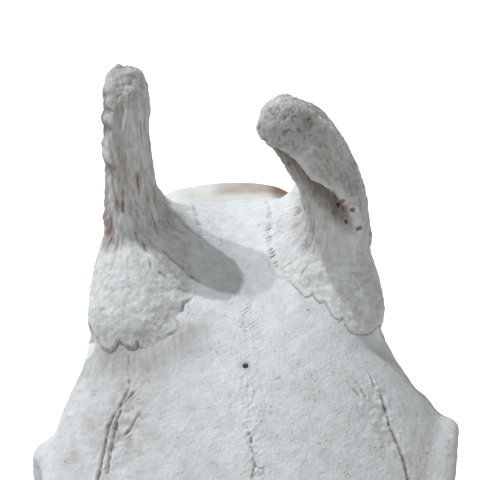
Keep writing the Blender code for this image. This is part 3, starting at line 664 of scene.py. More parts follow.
def seam_relief(p):
    """The stitched seams behind the feet, and the middle seam with its chevrons and its thickened end."""
    ps = p[:, 1]
    add, tan, dark = np.zeros((3, len(p)))
    for seam in (RIGHT_SEAM, LEFT_SEAM):
        gap, far = beside(p, seam)
        turn = np.floor(far / 2.5)
        across = far - (turn + 0.5) * 2.5
        stitch = bell(across, 0.5) * ease(1.7, 0.8, np.abs(gap - 0.3 * np.sin(turn * 1.3)))
        stitch *= ease(0.0, 0.45, np.sin(turn * 2.4 + 1) ** 2)
        line = bell(gap, 0.4) * 0.35
        seen = 0.5 + 0.5 * ease(-0.4, 0.4, swell(p, 9, 23))
        add -= (0.7 * stitch + 0.3 * line) * seen
        tan += (0.85 * stitch + 0.15 * line) * seen
        dark += 0.2 * stitch * seen
    gap = beside(p, MID_SEAM)[0]
    wave = ps - 0.75 * gap + 0.9 * swell(p, 5, 21)
    ripple = np.sin(wave * 2 * math.pi / 2.1) * ease(11, 3, gap) * ease(414, 424, ps) * ease(486, 462, ps)
    add += 0.38 * ripple * ease(-0.8, 0.4, swell(p, 3, 24) + 0.5 * swell(p, 1.3, 25))
    add += ease(418, 410, ps) * ease(6, 1.5, gap) * (0.75 * (cobbles(p, 2.1, 22) - 0.45))
    add += 0.25 * ease(8, 2, gap) * ease(500, 470, ps)
    return add, tan, dark


def groove_relief(p):
    """The crack in the forehead, the grooves of its vessels and the brown clefts of the ossicones."""
    add, tan, dark = np.zeros((3, len(p)))
    for line, wide, depth in ((CRACK, 0.32, 0.8), (CRACK_LOOP, 0.28, 0.5)):
        gap = beside(p, line)[0]
        add -= depth * bell(gap, wide)
        dark += 0.60 * bell(gap, wide * 0.9)
        tan += 0.35 * bell(gap, wide)
    for line, wide, depth in GROOVES:
        gap, far = beside(p, line)
        fade = ease(0, 4, far) * 0.75 + 0.25
        gap = gap + 0.35 * swell(p, 1.8, 31) + 0.2 * swell(p, 0.9, 39)
        add -= depth * fade * bell(gap, wide)
        add += 0.45 * depth * fade * bell(gap - 2.4 * wide, wide) * (0.5 + 0.8 * swell(p, 3, 38))
        dark += 0.28 * fade * bell(gap, 0.75 * wide) * min(depth, 1.2)
        tan += 0.55 * fade * bell(gap, 0.6 * wide)
    for line, wide, depth, stain in MARKS:
        gap = beside(p, line)[0]
        cleft = bell(gap + 0.45 * wide * swell(p, 2.2, 35), 0.8 * wide)
        add -= depth * cleft
        tan += 1.05 * stain * cleft * (0.75 + 0.3 * swell(p, 2.0, 36))
    return add, tan, dark


def forehead_relief(p):
    """The pitted dents of the brows, the vein's hole, pores, and the finely ridged bone at the back."""
    px, ps = p[:, 0], p[:, 1]
    add, tan, dark = np.zeros((3, len(p)))
    for cx, cs in BROW_DENTS:
        reach = np.hypot(px - cx, (ps - cs) / 1.9)
        add -= 1.2 * bell(reach, 8.5)
        near = bell(reach, 11)
        patch = near * ease(-0.3, 0.5, swell(p, 4, 37) + 0.6 * swell(p, 1.7, 40))
        dark += 0.20 * patch
        tan += 0.14 * patch
        fine = cobbles(p, 2.1, 36, 0.6)
        add += near * (0.55 * (cobbles(p, 4.2, 33, 0.6) - 0.25) + 0.45 * (fine - 0.25))
        dark += near * 0.14 * ease(0.1, 0.0, fine)
    beyond = px - VEIN_HOLE[0]
    gap = np.hypot(beyond, ps - VEIN_HOLE[1])
    add -= 0.5 * bell(gap, 3.4) * ease(2.5, -2.5, beyond)
    tan += 0.8 * bell(gap, 2.2)
    flank = ease(-30, -48, px) * ease(372, 392, ps) * ease(442, 425, ps)
    tan += flank * (0.09 + 0.10 * swell(p, 3.5, 47) + 0.12 * ease(0.1, 0.7, swell(p, 1.6, 48)))
    add += 0.12 * swell(p, 1.6, 34) * ease(500, 440, ps)
    rear = ease(470, 500, ps) * ease(26, 16, np.abs(px))
    add += rear * (0.14 * swell(p, 1.9, 41) + 0.2 * (cobbles(p, 2.4, 42, 0.5) - 0.2))
    add += rear * 0.22 * swell(p * np.array([0.35, 1.0, 0.6]), 1.25, 43)
    busy = 0.35 + 0.65 * bell(np.hypot(px - 20, ps - 431), 13) + 0.4 * rear
    pits = ease(0.62, 0.9, cobbles(p, 2.9, 51, 0.14)) * np.clip(busy, 0, 1)
    add -= 0.28 * pits
    tan += 0.42 * pits
    # Painted shade on the outer side of the left brow, which faces away from the lamps; the forehead is
    # also darker toward both sides in front of the feet
    sides = ease(8, 34, np.abs(px)) * ease(460, 430, ps)
    dark += 0.22 * ease(54, 74, px) * ease(440, 420, ps) + sides * (0.07 + 0.05 * swell(p, 14, 28))
    dark += 0.05 * ease(0.1, 0.9, swell(p, 4.5, 29))
    tan += 0.05 * ease(0.2, 0.9, swell(p, 7, 30)) + 0.03 * ease(0.2, 0.9, swell(p, 2.2, 32))
    return add, tan, dark


def lip_relief(p):
    """Painted shade, with streaks, on the bone below the right foot's lip, and the broken plates on the
    left foot.
    """
    px, ps, ph = p.T
    below = within(p, RIGHT_FOOT)
    below = ease(-26, -6, below) * ease(0.5, -1, below) * ease(448, 440, ps)
    # Painted shade below the right foot's lip, streaked across
    dark = below * (0.40 + 0.14 * swell(p * np.array([1, 0.2, 0.2]), 1.3, 27))
    split = plates(p * np.array([1, 1, 0.5]), 7.5, 19)
    broken = ease(10, 3, np.abs(within(p, LEFT_FOOT) - 4)) * ease(448, 462, ps) * ease(530, 500, ps)
    broken = broken * ease(60, 46, px) * ease(-0.3, 0.2, swell(p, 6, 20)) * ease(208, 194, ph)
    return -0.30 * split * broken, 0.22 * split * broken, dark


def stem_relief(p, stem, seed):
    """An ossicone, streaked lengthways, with a crust at the tip: the right one has knobs along its
    outer edge, with painted shade between them, the left one overhangs a hollow of brown bone and is
    pierced by small holes, with painted shade on its club's face, in the hollow and on the forward
    side of its tip."""
    side = np.sign(stem[0][0])
    best, far, axis, length = nearest(p, np.array(stem)[:, :3])
    off = p - axis
    off /= np.linalg.norm(off, axis=1)[:, None] + 1e-9
    outer, ahead = off[:, 0] * side, -off[:, 1]
    round_it = np.arctan2(off[:, 1], off[:, 0])
    streak = np.stack([np.cos(round_it) * 13, np.sin(round_it) * 13, far * 0.10], axis=1)
    on = ease(186, 200, p[:, 2]) * ease(28, 19, best)
    lines = swell(streak, 1.2, seed) + 0.6 * swell(streak, 0.62, seed + 1)
    share = far / length
    crust = ease(0.80, 0.97, share)
    if side < 0:
        knobbly = ease(0.22, 0.50, outer) * ease(0.42, 0.56, share) * ease(-0.5, 0.0, ahead)
        along = np.stack([far, round_it * 5, far * 0], axis=1) + swell(p, 5, 62)[:, None]
        knobs = cobbles(along, 7.2, seed + 2)
        knobs = knobs * (2 - knobs)
        groove = bell(outer - 0.12, 0.16) * ease(-0.1, 0.3, ahead) * ease(0.35, 0.5, share)
        ridge = ease(0.55, 0.85, outer) * ease(0.50, 0.36, share)
        add = on * (3.4 * knobbly * (knobs - 0.5) - 1.2 * groove * ease(1.0, 0.85, share))
        add += on * ridge * 0.9 * (cobbles(p, 3.0, seed + 6) - 0.3)
        add += on * 0.75 * lines * (1 - knobbly) * (1 - crust)
        rough = np.clip(crust + 0.6 * knobbly + 0.4 * ridge, 0, 1)
        slit = ease(0.60, 0.95, -lines / 1.5) * ease(0.72, 0.45, share) * ease(-0.2, 0.3, ahead)
        hollow = 0.0
        # Painted shade between the knobs, in the groove and on the outer ridge; the inner side is a
        # little lighter
        painted_shade = 0.60 * knobbly * ease(0.75, 0.2, knobs) + 0.25 * ridge + 0.2 * groove
        painted_shade -= 0.14 * ease(0.1, -0.6, outer)
        wedge = bell(outer - 0.62, 0.14) * ease(0.42, 0.12, share) * ease(-0.2, 0.3, ahead)
        # The greenish tan between the knobs is partly painted shadow; the rest of the tint is stain
        tint = 0.18 + 0.08 * swell(p, 9, seed + 9) + 0.14 * knobbly * ease(0.8, 0.3, knobs)
        tint += 0.10 * ridge + 0.35 * wedge
    else:
        club = within(p[:, ::2], LEFT_CLUB) + 0.5 * swell(p, 2.2, seed + 9)
        seen = ease(-0.15, 0.35, ahead)
        over = ease(-0.4, 0.9, club) * seen
        hollow = ease(0.0, -1.6, club) * ease(-13, -3, club) * ease(14, 21, p[:, 0]) * seen
        hollow *= ease(206, 222, p[:, 2])
        face = over * ease(2.0, 4.5, club) * ease(0.30, 0.55, ahead) * ease(1.0, 0.9, share)
        pits = cobbles(p, 3.0, seed + 6, 0.5)
        edge = over * np.exp(-np.clip(club, 0, None) / 8) * ease(4, 20, p[:, 0])
        add = on * (2.6 * edge - 1.2 * ease(10, -4, p[:, 0]) - 4.0 * hollow - 0.6 * face * pits)
        add += on * 0.80 * lines * (1 - over) - 0.5 * face
        crust = np.clip(crust + over * (1 - ease(0.15, 0.5, ahead)), 0, 1)
        rough = np.clip(crust + 0.35 * over, 0, 1)
        slit = ease(0.60, 0.95, -lines / 1.5) * ease(0.62, 0.40, share) * (1 - over)
        # Painted shade on the club's face, in its pits and in the hollow under it; the hollow's brown is
        # its own colour
        painted_shade = 0.12 * face + 0.26 * face * pits + 0.75 * hollow
        # Painted shade on the forward side of the tip
        painted_shade += 0.34 * crust * ease(0.84, 0.92, share) * ease(-0.1, 0.4, ahead)
        tint = 0.12 + 0.12 * face * ease(0.1, 0.8, swell(p, 5, seed + 10)) + 0.4 * hollow
        for spot in LEFT_VENTS:
            gap = np.linalg.norm((p - spot) * (1, 0.8, 0.75), axis=1)
            add -= on * 2.0 * ease(1.15, 0.5, gap)
            add += on * 0.35 * bell(gap - 1.7, 0.5)
            slit = np.clip(slit * ease(0.8, 2.2, gap) + 1.3 * ease(1.25, 0.85, gap), 0, 1)
            painted_shade *= ease(0.9, 2.0, gap)
    grains = cobbles(p, 2.0, seed + 3, 0.8)
    grains = grains * (2 - grains)
    lumps = cobbles(p, 5.2, seed + 8, 0.8)
    add += on * (crust * 1.1 * (lumps * (2 - lumps) - 0.4) + rough * 0.55 * (grains - 0.45))
    add += on * 0.12 * swell(p, 1.5, seed + 4)
    fibres = 0.15 + 0.55 * ease(-0.2, 0.6, lines)
    tan = 0.75 * slit + hollow * fibres + 0.16 * ease(0.3, 0.9, swell(p, 6, seed + 5))
    tan += tint + 0.42 * ease(0.1, 0.8, -lines) * (1 - rough)
    dark = 0.40 * rough * ease(0.45, 0.0, grains) + 0.2 * slit + painted_shade + 0.13
    dark += 0.34 * ease(0.2, 0.9, lines) * (1 - rough)
    return add, on * tan, on * dark


def surfaced(points, facing):
    """How far each point of the mass moves along its facing, and the brown and the grey, partly painted
    shade, that it carries.
    """
    x, s, h = points.T
    surface = np.zeros((3, len(points)))
    surface[0] = 0.30 * swell(points, 17, 1) + 0.16 * swell(points, 6.5, 2) + 0.07 * swell(points, 2.4, 3)

    pick = np.flatnonzero((s > 340) & (s < 585) & (h > 128) & (h < 240) & (facing[:, 2] > -0.3))
    p = points[pick]
    for relief in (
        foot_relief(p, RIGHT_FOOT, -1, lip=1.3, reach=9.0, back=466, heart=(-57, 501)),
        foot_relief(p, LEFT_FOOT, 1, lip=0.5, reach=6.0, back=478, heart=(44, 503)),
        lip_relief(p), seam_relief(p), groove_relief(p), forehead_relief(p),
    ):
        surface[:, pick] += relief

    # Yellowed a little toward the snout and the base, where more oil stays in the bone
    yellow = 0.11 * ease(400, 250, s) + 0.12 * ease(128, 70, h)
    surface[1] += yellow * (1 + 0.8 * swell(points, 24, 44) + 0.4 * swell(points, 7, 45))

    # The crest at the back, tanned along its upper edge and brown at its left end
    tanned = 0.46 * ease(602, 609, s) * ease(-14, 6, x) + 0.5 * ease(27, 36, x) + 0.12 * ease(-34, -42, x)
    surface[1] += ease(590, 598, s) * ease(104, 112, h) * (tanned + 0.08 * swell(points, 7, 26))

    for stem, seed in ((LEFT_STEM, 61), (RIGHT_STEM, 71)):
        side = np.sign(stem[0][0])
        pick = np.flatnonzero((h > 176) & (s > 440) & (x * side > 0) & (np.abs(x) > 6))
        surface[:, pick] += stem_relief(points[pick], stem, seed)
    return surface[0], *np.clip(surface[1:], 0, 1)


divided(mass)
# The roof from the brows to behind the feet, and all that stands above it, then the small holes
refined(mass, lambda p, f: (p[:, 1] > 362) & (p[:, 1] < 580) & (p[:, 2] > 142) & (f[:, 2] > 0.05)
        | (p[:, 2] > 188))
refined(mass, lambda p, f: np.min(
    [np.linalg.norm(p - vent, axis=1) for vent in LEFT_VENTS], axis=0) < 4)
points, facing = places_of(mass.data), facings_of(mass.data)
move, brown, grey = surfaced(points, facing)
pushed(mass, points, facing, move)
painted(mass, "brown", brown)
painted(mass, "grey", grey)

# The small hole for a vein in the middle of the forehead
cut(mass, bar([(-0.7, 419.6, 190, 1.5, 1.5), (-0.7, 418.4, 183, 1.5, 1.5), (-0.4, 415, 176, 1.2, 1.2)],
              sides=14))
# Inside the hole the bone is painted brown and grey: brown stain and painted shade
points = places_of(mass.data)
inside = (np.hypot(points[:, 0] + 0.6, points[:, 1] - 418.4) < 3.2) & (points[:, 2] < 183.0)
for layer, stain_and_shade in (("brown", 0.9), ("grey", 0.5)):
    values = np.empty(len(points), np.float32)
    mass.data.attributes[layer].data.foreach_get("value", values)
    painted(mass, layer, np.where(inside, stain_and_shade, values))


# The bones part
# Each bone meets its neighbours along a wavy seam. The bones are cut from the mass one after another,
# with a hairline between them, so that each is a piece of its own.

HAIR = 0.06
# How far the blocks reach beside, below and above what they cut
SIDE, UNDER, OVER = 160, 60, 300


def offset(points, grow):
    """An outline's corners, moved outward by a distance (inward where it is negative)."""
    count = len(points)
    area = sum(points[i - 1][0] * points[i][1] - points[i][0] * points[i - 1][1] for i in range(count))
    way = 1 if area > 0 else -1
    moved = []
    for i in range(count):
        here = Vector(points[i])
        into = (here - Vector(points[i - 1])).normalized()
        out = (Vector(points[(i + 1) % count]) - here).normalized()
        normal = Vector((into.y + out.y, -into.x - out.x)).normalized()
        spread = max(0.35, normal.dot(Vector((into.y, -into.x))))
        moved.append(here + normal * way * grow / spread)
    return moved


def wavy(outline, step=2.6, swing=0.55):
    """The outline with its long sides turned into the small waves of a grown seam."""
    found = []
    for number, (a, b) in enumerate(zip(outline, [*outline[1:], outline[0]])):
        a, b = Vector(a), Vector(b)
        length = (b - a).length
        parts = max(1, int(length / step))
        across = Vector((b.y - a.y, a.x - b.x)).normalized()
        for k in range(parts):
            lean = 0 if k == 0 else swing * (-1) ** k * (0.5 + 0.5 * math.sin(k * 1.7 + number) ** 2)
            found.append(tuple(a.lerp(b, k / parts) + across * lean))
    return tuple(found)


def block(axis, outline, low, high, grow):
    """A block whose outline is drawn from the side as (s, h) or from above as (x, s)."""
    points = offset(outline, grow)
    bm = bmesh.new()
    ends = [[bm.verts.new((level, *p) if axis == "x" else (*p, level)) for p in points]
            for level in (low - grow, high + grow)]
    for end in ends:
        bm.faces.new(end)
    for i in range(len(points)):
        j = (i + 1) % len(points)
        bm.faces.new((ends[0][i], ends[0][j], ends[1][j], ends[1][i]))
    bmesh.ops.recalc_face_normals(bm, faces=bm.faces)
    bmesh.ops.triangulate(bm, faces=bm.faces)
    return linked("block", written(bm, bpy.data.meshes.new("block")))


def taken(name, blocks):
    """One bone out of the mass: what lies inside all of the blocks."""
    piece = linked(name, mass.data.copy())
    for target, away in ((piece, -HAIR / 2), (mass, HAIR / 2)):
        first, *rest = [made(away) for made in blocks]
        for other in rest:
            cut(first, other, "INTERSECT")
        cut(target, first, "INTERSECT" if target is piece else "DIFFERENCE")
    return one_body(piece)


def from_side(outline, low=-SIDE, high=SIDE):
    """A block drawn from the side, still to be grown or shrunk by half a hairline."""
    return lambda grow: block("x", outline, low, high, grow)


def from_above(outline):
    return lambda grow: block("h", outline, UNDER, OVER, grow)


OCCIPITAL = wavy(((566, -20), (566, 58), (574, 66), (580, 84), (592, 97), (598, 118), (606, 140),
                  (680, 140), (680, -20)))
TEMPORAL = wavy(((438, 60), (441, 76), (438, 92), (445, 112), (470, 118), (500, 126), (535, 130),
                 (565, 126), (600, 122), (600, 20), (500, 20), (456, 52)))
PARIETAL = ((506, 126), (503, 150), (508, 176), (504, 215), (640, 215), (640, 118), (565, 124))
PARIETAL_TOP = wavy(((-160, 480), (-25, 480), (-22, 505), (-20, 545), (-10, 551), (10, 551), (20, 545),
                     (22, 505), (25, 480), (160, 480), (160, 700), (-160, 700)))
NASAL = ((160, 78), (215, 90), (260, 112), (300, 128), (340, 136), (340, 170), (160, 170))
NASAL_TOP = wavy(((0, 160), (16, 160), (19, 215), (23, 250), (26, 290), (24, 312), (14, 320),
                  (11, 334), (0, 338)))
FRONTAL = ((318, 112), (345, 106), (378, 112), (405, 112), (412, 122), (440, 114), (480, 120),
           (562, 126), (562, 215), (300, 215), (300, 138), (308, 126))
ZYGOMATIC = wavy(((296, 46), (306, 66), (318, 84), (322, 100), (345, 104), (378, 110), (405, 110),
                  (414, 120), (436, 118), (446, 96), (446, 60), (390, 40), (340, 40)))
PREMAXILLA = wavy(((-20, -20), (-20, 200), (262, 200), (250, 106), (215, 78), (180, 58), (140, 38),
                   (100, 23), (66, 13), (58, 0), (58, -20)))
BASE = wavy(((379, -20), (379, 30), (388, 46), (380, 70), (386, 115), (600, 140), (600, -20)))
MIDDLE = wavy(tuple(reversed(MID_SEAM)) + ((0, 600),), 1.7, 0.45)
MIDDLE = MIDDLE[:MIDDLE.index((0.0, 600.0))]
HALVES = [[(0, -50), (0, 300), *MIDDLE, (0, 700), (far, 700), (far, -50)] for far in (200, -200)]


# Ossicones
# The two horns of bone grew as pieces of their own and fused to the skull late in life. Their feet
# spread over the frontal and parietal bones; the bone is dry, streaked and stained, crusted at the tip.


def sockets(tree, way, *rows):
    """Gives a group its inputs or outputs, each a name, a kind and perhaps a value to start from."""
    for name, kind, *start in rows:
        made = tree.interface.new_socket(name, in_out=way, socket_type="NodeSocket" + kind)
        if start:
            made.default_value = start[0]


def joined(tree, spot, value):
    """Fills an input of a node: wired to another node's output, or with a plain value."""
    if isinstance(value, bpy.types.NodeSocket):
        tree.links.new(value, spot)
    else:
        spot.default_value = value


def wired(tree, kind, **values):
    """A node with its settings and inputs filled in; i0, i1 and so on are inputs by number."""
    node = tree.nodes.new(kind)
    for key, value in values.items():
        if hasattr(node, key) and key not in node.inputs:
            setattr(node, key, value)
        else:
            joined(tree, node.inputs[int(key[1:]) if key[0] == "i" and key[1:].isdigit() else key], value)
    return node


def ranged(tree, value, low, high, start=0.0, end=1.0):
    """A value stretched from one span to another."""
    node = wired(tree, "ShaderNodeMapRange", Value=value, i1=low, i2=high, i3=start, i4=end)
    return node.outputs["Result"]


def noise(tree, vector, scale, detail, roughness=0.5):
    """Soft clouds between 0 and 1, so many to a metre."""
    return wired(tree, "ShaderNodeTexNoise", Vector=vector, Scale=scale, Detail=detail,
                 Roughness=roughness).outputs["Fac"]


def maths(tree, operation, *values):
    """What a sum gives, such as a product of two values."""
    filled = {f"i{n}": value for n, value in enumerate(values)}
    return wired(tree, "ShaderNodeMath", operation=operation, **filled).outputs["Value"]


grain = bpy.data.node_groups.new("dry bone grain", "ShaderNodeTree")
sockets(
    grain, "INPUT", ("Vector", "Vector"), ("Mottle per metre", "Float", 60.0),
    ("Grain per metre", "Float", 900.0), ("Pores per metre", "Float", 450.0),
)
sockets(grain, "OUTPUT", *((name, "Float") for name in ("Mottle", "Grain", "Pores", "Height")))
given = grain.nodes.new("NodeGroupInput").outputs
mottle = noise(grain, given["Vector"], given["Mottle per metre"], 4.0, 0.6)
fine = noise(grain, given["Vector"], given["Grain per metre"], 5.0, 0.7)
cell = wired(grain, "ShaderNodeTexVoronoi", Vector=given["Vector"], Scale=given["Pores per metre"],
             Randomness=1.0).outputs["Distance"]
hole, some = ranged(grain, cell, 0.10, 0.26, 1.0, 0.0), ranged(grain, mottle, 0.50, 0.66)
pores = maths(grain, "MULTIPLY", hole, some)
wired(grain, "NodeGroupOutput", Mottle=mottle, Grain=fine, Pores=pores,
      Height=maths(grain, "MULTIPLY_ADD", pores, -0.8, fine))


def mixed(tree, share, first, second):
    """One colour turning into another by a share."""
    node = wired(tree, "ShaderNodeMix", data_type="RGBA")
    for name, value in (("Factor", share), ("A", first), ("B", second)):
        joined(tree, next(s for s in node.inputs if s.enabled and s.name == name), value)
    return next(s for s in node.outputs if s.enabled)


def stained(tree, layer, colour, stain):
    """The colour turned toward a stain, or toward painted shade, by a value that each point of the mesh
    carries.
    """
    share = wired(tree, "ShaderNodeAttribute", attribute_name=layer).outputs["Fac"]
    return mixed(tree, share, colour, stain)


def begun(name):
    """A new material, its tree, its shader and the piece's own coordinates."""
    material = bpy.data.materials.new(name)
    material.use_nodes = True
    tree = material.node_tree
    spots = tree.nodes.new("ShaderNodeTexCoord").outputs["Object"]
    return material, tree, tree.nodes["Principled BSDF"], spots


def dressed(tree, shader, colour, matt, **relief):
    """Joins a colour, a roughness and a fine relief to the shader."""
    bump = wired(tree, "ShaderNodeBump", **relief).outputs["Normal"]
    for name, found in (("Base Color", colour), ("Roughness", matt), ("Normal", bump)):
        tree.links.new(found, shader.inputs[name])


EARTH = (0.22, 0.11, 0.045, 1)
# The grey layer turns bone toward this colour: dust in clefts and seams, and painted shade
DUST_AND_SHADE = (0.20, 0.175, 0.15, 1)


def bone_finish(name, pale, worn, roughness=0.68, relief=0.00035, mottle=60.0, grain_size=900.0,
                pores=450.0):
    """Dry bone of two near shades, with pores, brown in its seams and pits, and grey in its clefts and as
    painted shade.
    """
    material, tree, shader, spots = begun(name)
    made = wired(tree, "ShaderNodeGroup", node_tree=grain, **{
        "Vector": spots, "Mottle per metre": mottle, "Grain per metre": grain_size,
        "Pores per metre": pores}).outputs
    colour = mixed(tree, ranged(tree, made["Mottle"], 0.36, 0.66), (*pale, 1), (*worn, 1))
    flecks = ranged(tree, made["Grain"], 0.52, 0.72, 0.0, 0.38)
    colour = mixed(tree, flecks, colour, (*(v * 0.72 for v in worn), 1))
    colour = mixed(tree, maths(tree, "MULTIPLY", made["Pores"], 0.45), colour, EARTH)
    colour = stained(tree, "grey", stained(tree, "brown", colour, EARTH), DUST_AND_SHADE)
    matt = ranged(tree, made["Grain"], 0.3, 0.7, roughness - 0.08, roughness + 0.10)
    dressed(tree, shader, colour, matt, Strength=0.6, Distance=relief, Height=made["Height"])
    shader.inputs["Specular IOR Level"].default_value = 0.35
    return material


def set_down(piece, name, material, node, corner=58):
    """Lays a finished piece in its place, on the body, and hides the part of the model that it replaces.
    Edges sharper than the corner's angle in degrees stay sharp."""
    piece.name = piece.data.name = name
    piece.data.transform(place)
    # What rests on the floor is flat there
    spots = places_of(piece.data)
    spots[:, 2] = np.maximum(spots[:, 2], 0)
    piece.data.vertices.foreach_set("co", spots.ravel())
    piece.data.materials.clear()
    piece.data.materials.append(material)
    piece.data.shade_smooth()
    piece.data.set_sharp_from_angle(angle=math.radians(corner))
    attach(piece, "root")
    if node:
        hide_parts(node)


def horn_block(foot, side, away):
    """Everything over an ossicone's foot, down to a bed a few millimetres inside the skull's roof."""
    foot_top, overlap, bed_depth = 203, 5, 2.6
    solid = block("h", foot, 100, foot_top, away)
    above = block("h", ((side * (0.5 - away), 430), (side * 170, 430), (side * 170, 640),
                        (side * (0.5 - away), 640)), foot_top - overlap, 340, 0)
    cut(solid, above, "UNION")
    bed = skull_skin()
    sink = bed.modifiers.new("sink", "DISPLACE")
    sink.mid_level = 0.0
    sink.strength = -bed_depth - away
    return cut(solid, settled(bed))


ossicone_bone = bone_finish(
    "ossicone bone", (0.82, 0.84, 0.84), (0.70, 0.705, 0.69), roughness=0.76, relief=0.0017,
    mottle=130.0, grain_size=750.0, pores=380.0,
)
for half, foot, side in (("_left", LEFT_FOOT, 1), ("_right", RIGHT_FOOT, -1)):
    horn = taken("horn", [lambda away, foot=foot, side=side: horn_block(foot, side, away)])
    set_down(horn, "horn" + half, ossicone_bone, "ossicone" + half)


# Occipital bone
# The back of the skull: the knuckles that turned on the neck, the hole for the spinal cord between
# them, and the smooth thick crest above, where the great neck ligament held on.

occipital_bone = bone_finish(
    "occipital bone", (0.77, 0.765, 0.74), (0.69, 0.67, 0.615), roughness=0.58, relief=0.0005,
)
bone = taken("occipital", [from_side(OCCIPITAL)])
set_down(bone, "occipital_bone", occipital_bone, "occipital")


# Temporal bones
# The sides of the braincase with the ear openings, each with the root of the cheek arch in front.


def bone_pair(bone, finish, outline, inner=0, node="", tops=()):
    """The left and the right bone of a pair, from a distance beside the middle to the skull's side."""
    node = node or bone.split("_")[0]
    for n, (half, low, high) in enumerate((("_left", inner, SIDE), ("_right", -SIDE, -inner))):
        blocks = [from_side(outline, low, high), *(from_above(top) for top in tops[n:n + 1])]
        set_down(taken(bone, blocks), bone + half, finish, node + half)


temporal_bone = bone_finish(
    "temporal bone", (0.76, 0.765, 0.76), (0.665, 0.655, 0.625), relief=0.0010, mottle=90.0,
)
bone_pair("temporal_bone", temporal_bone, TEMPORAL, 29)


# Parietal bone
# The roof of the braincase behind the ossicones, finely ridged and pitted where the scalp lay on it.

roof_bone = bone_finish(
    "roof bone", (0.77, 0.795, 0.80), (0.68, 0.685, 0.67), roughness=0.66, relief=0.0014,
    mottle=110.0,
)
bone = taken("parietal", [from_side(PARIETAL), from_above(PARIETAL_TOP)])
set_down(bone, "parietal_bone", roof_bone, "parietal")


# Nasal bones
# Two thin plates over the nose opening, side by side, ending in short points.

nasal_bone = bone_finish(
    "nasal bone", (0.765, 0.765, 0.75), (0.67, 0.66, 0.625), relief=0.0008, mottle=80.0,
)
tops = [tuple((x * side, s) for x, s in NASAL_TOP) for side in (1, -1)]
bone_pair("nasal_bone", nasal_bone, NASAL, tops=tops)


# Frontal bones
# The broad forehead and the brows over the eyes, joined along the middle seam, with the grooves in
# which the vessels of the forehead ran.

frontal_bone = bone_finish(
    "frontal bone", (0.77, 0.80, 0.82), (0.69, 0.695, 0.685), roughness=0.64, relief=0.0010,
    mottle=130.0,
)
for side, half in zip(("_left", "_right"), HALVES):
    bone = taken("frontal", [from_side(FRONTAL), from_above(half)])
    set_down(bone, "frontal_bone" + side, frontal_bone, "frontal" + side)


# Cheek bones
# Under each eye, with a slender arch that runs back to the temporal bone.

cheek_bone = bone_finish(
    "cheek bone", (0.76, 0.765, 0.76), (0.665, 0.655, 0.625), relief=0.0010, mottle=90.0,
)
bone_pair("cheek_bone", cheek_bone, ZYGOMATIC, 50, node="zygomatic")


# Premaxillae
# The two long flat bones at the tip of the snout, without teeth, with the palate's slots between them.

snout_bone = bone_finish(
    "snout bone", (0.765, 0.755, 0.73), (0.66, 0.64, 0.59), relief=0.0007, mottle=70.0,
)
bone_pair("premaxilla_bone", snout_bone, PREMAXILLA)


# Sphenoid
# The base of the skull, with the wings of bone beside the inner nostrils.

base_bone = bone_finish("base bone", (0.75, 0.745, 0.72), (0.64, 0.62, 0.57), relief=0.0009, mottle=80.0)
set_down(taken("sphenoid", [from_side(BASE)]), "sphenoid_bone", base_bone, "sphenoid")


# Maxillae
# The long sides of the face, which hold the upper cheek teeth.

ALL = ((-50, -50), (-50, 300), (700, 300), (700, -50))
face_bone = bone_finish(
    "face bone", (0.76, 0.765, 0.755), (0.665, 0.655, 0.62), relief=0.0009, mottle=85.0,
)
bone_pair("maxilla_bone", face_bone, ALL)
bpy.data.objects.remove(mass, do_unlink=True)


# Lower jaw
# Two halves that meet at the chin, each with a toothless gap behind the front teeth and a broad
# upright branch that ends in the jaw joint and the hook for the temple muscle.


def both_sides(left, name, finish, node=None, corner=58):
    """Lays down the left half of a piece and its twin on the right."""
    for side, half in (("_right", other_side(left)), ("_left", left)):
        set_down(half, name + side, finish, node and node + side, corner)


JAW = (
    (12, 6, -8, 12, 3.2), (15, 20, -11, 15, 6), (14.5, 50, -18, 13.5, 9.5), (13, 80, -25, 11.5, 13),
    (15, 108, -28, 10, 14), (22, 150, -27, 8.5, 13), (31, 205, -28, 10, 17), (38, 270, -32, 11.5, 20.5),
    (44, 340, -36.5, 12.5, 24.5), (49, 400, -39, 11.5, 27.5), (52, 445, -38, 9, 29),
)
BRANCH = (
    (53, 470, -70, 5, 14), (53, 466, -60, 6.5, 31), (54, 465, -40, 7, 43), (57, 467, -14, 6.5, 43),
    (60, 475, 15, 6, 36), (63, 485, 44, 6, 29), (65, 493, 64, 6, 21),
)
jaw_bone = bone_finish(
    "jaw bone", (0.75, 0.74, 0.705), (0.65, 0.62, 0.56), roughness=0.64, relief=0.0007, mottle=70.0,
)
jaw = grown(massed("jaw", [
    bar(JAW, steps=8),
    bar(BRANCH, power=2.5),
    bar([(65, 497, 45, 7, 16), (67, 505, 60, 8, 11), (69, 508, 70, 11, 8)]),
    knob((69, 508, 72), (15.5, 9, 6.5)),
    bar([(63, 470, 36, 5.5, 18), (66, 471, 72, 5, 13), (68, 478, 100, 4.2, 9), (68, 491, 119, 3.6, 6)]),
]), MASS_GRAIN, 5)
divided(jaw)
points, facing = places_of(jaw.data), facings_of(jaw.data)
move = 0.30 * swell(points, 19, 81) + 0.14 * swell(points, 6, 82) + 0.06 * swell(points, 2.5, 83)
rough = ease(-50, -66, points[:, 2]) * ease(440, 470, points[:, 1])
move += rough * 0.6 * (cobbles(points, 6, 84, 0.7) - 0.3)
pushed(jaw, points, facing, move)
stain = 0.35 * ease(0.25, 0.8, swell(points, 24, 85)) + 0.2 * ease(0.5, 0.9, swell(points, 5, 86))
painted(jaw, "brown", stain)
cut(jaw, block("x", ((-60, -200), (-60, 300), (700, 300), (700, -200)), HAIR / 2, 200, 0), "INTERSECT")
cut(jaw, bar([(22, 96, -24, 2.2, 3.2), (40, 92, -22, 2.6, 3.8)], across=(0, 1, 0)))
both_sides(jaw, "jaw_bone", jaw_bone, "mandible")


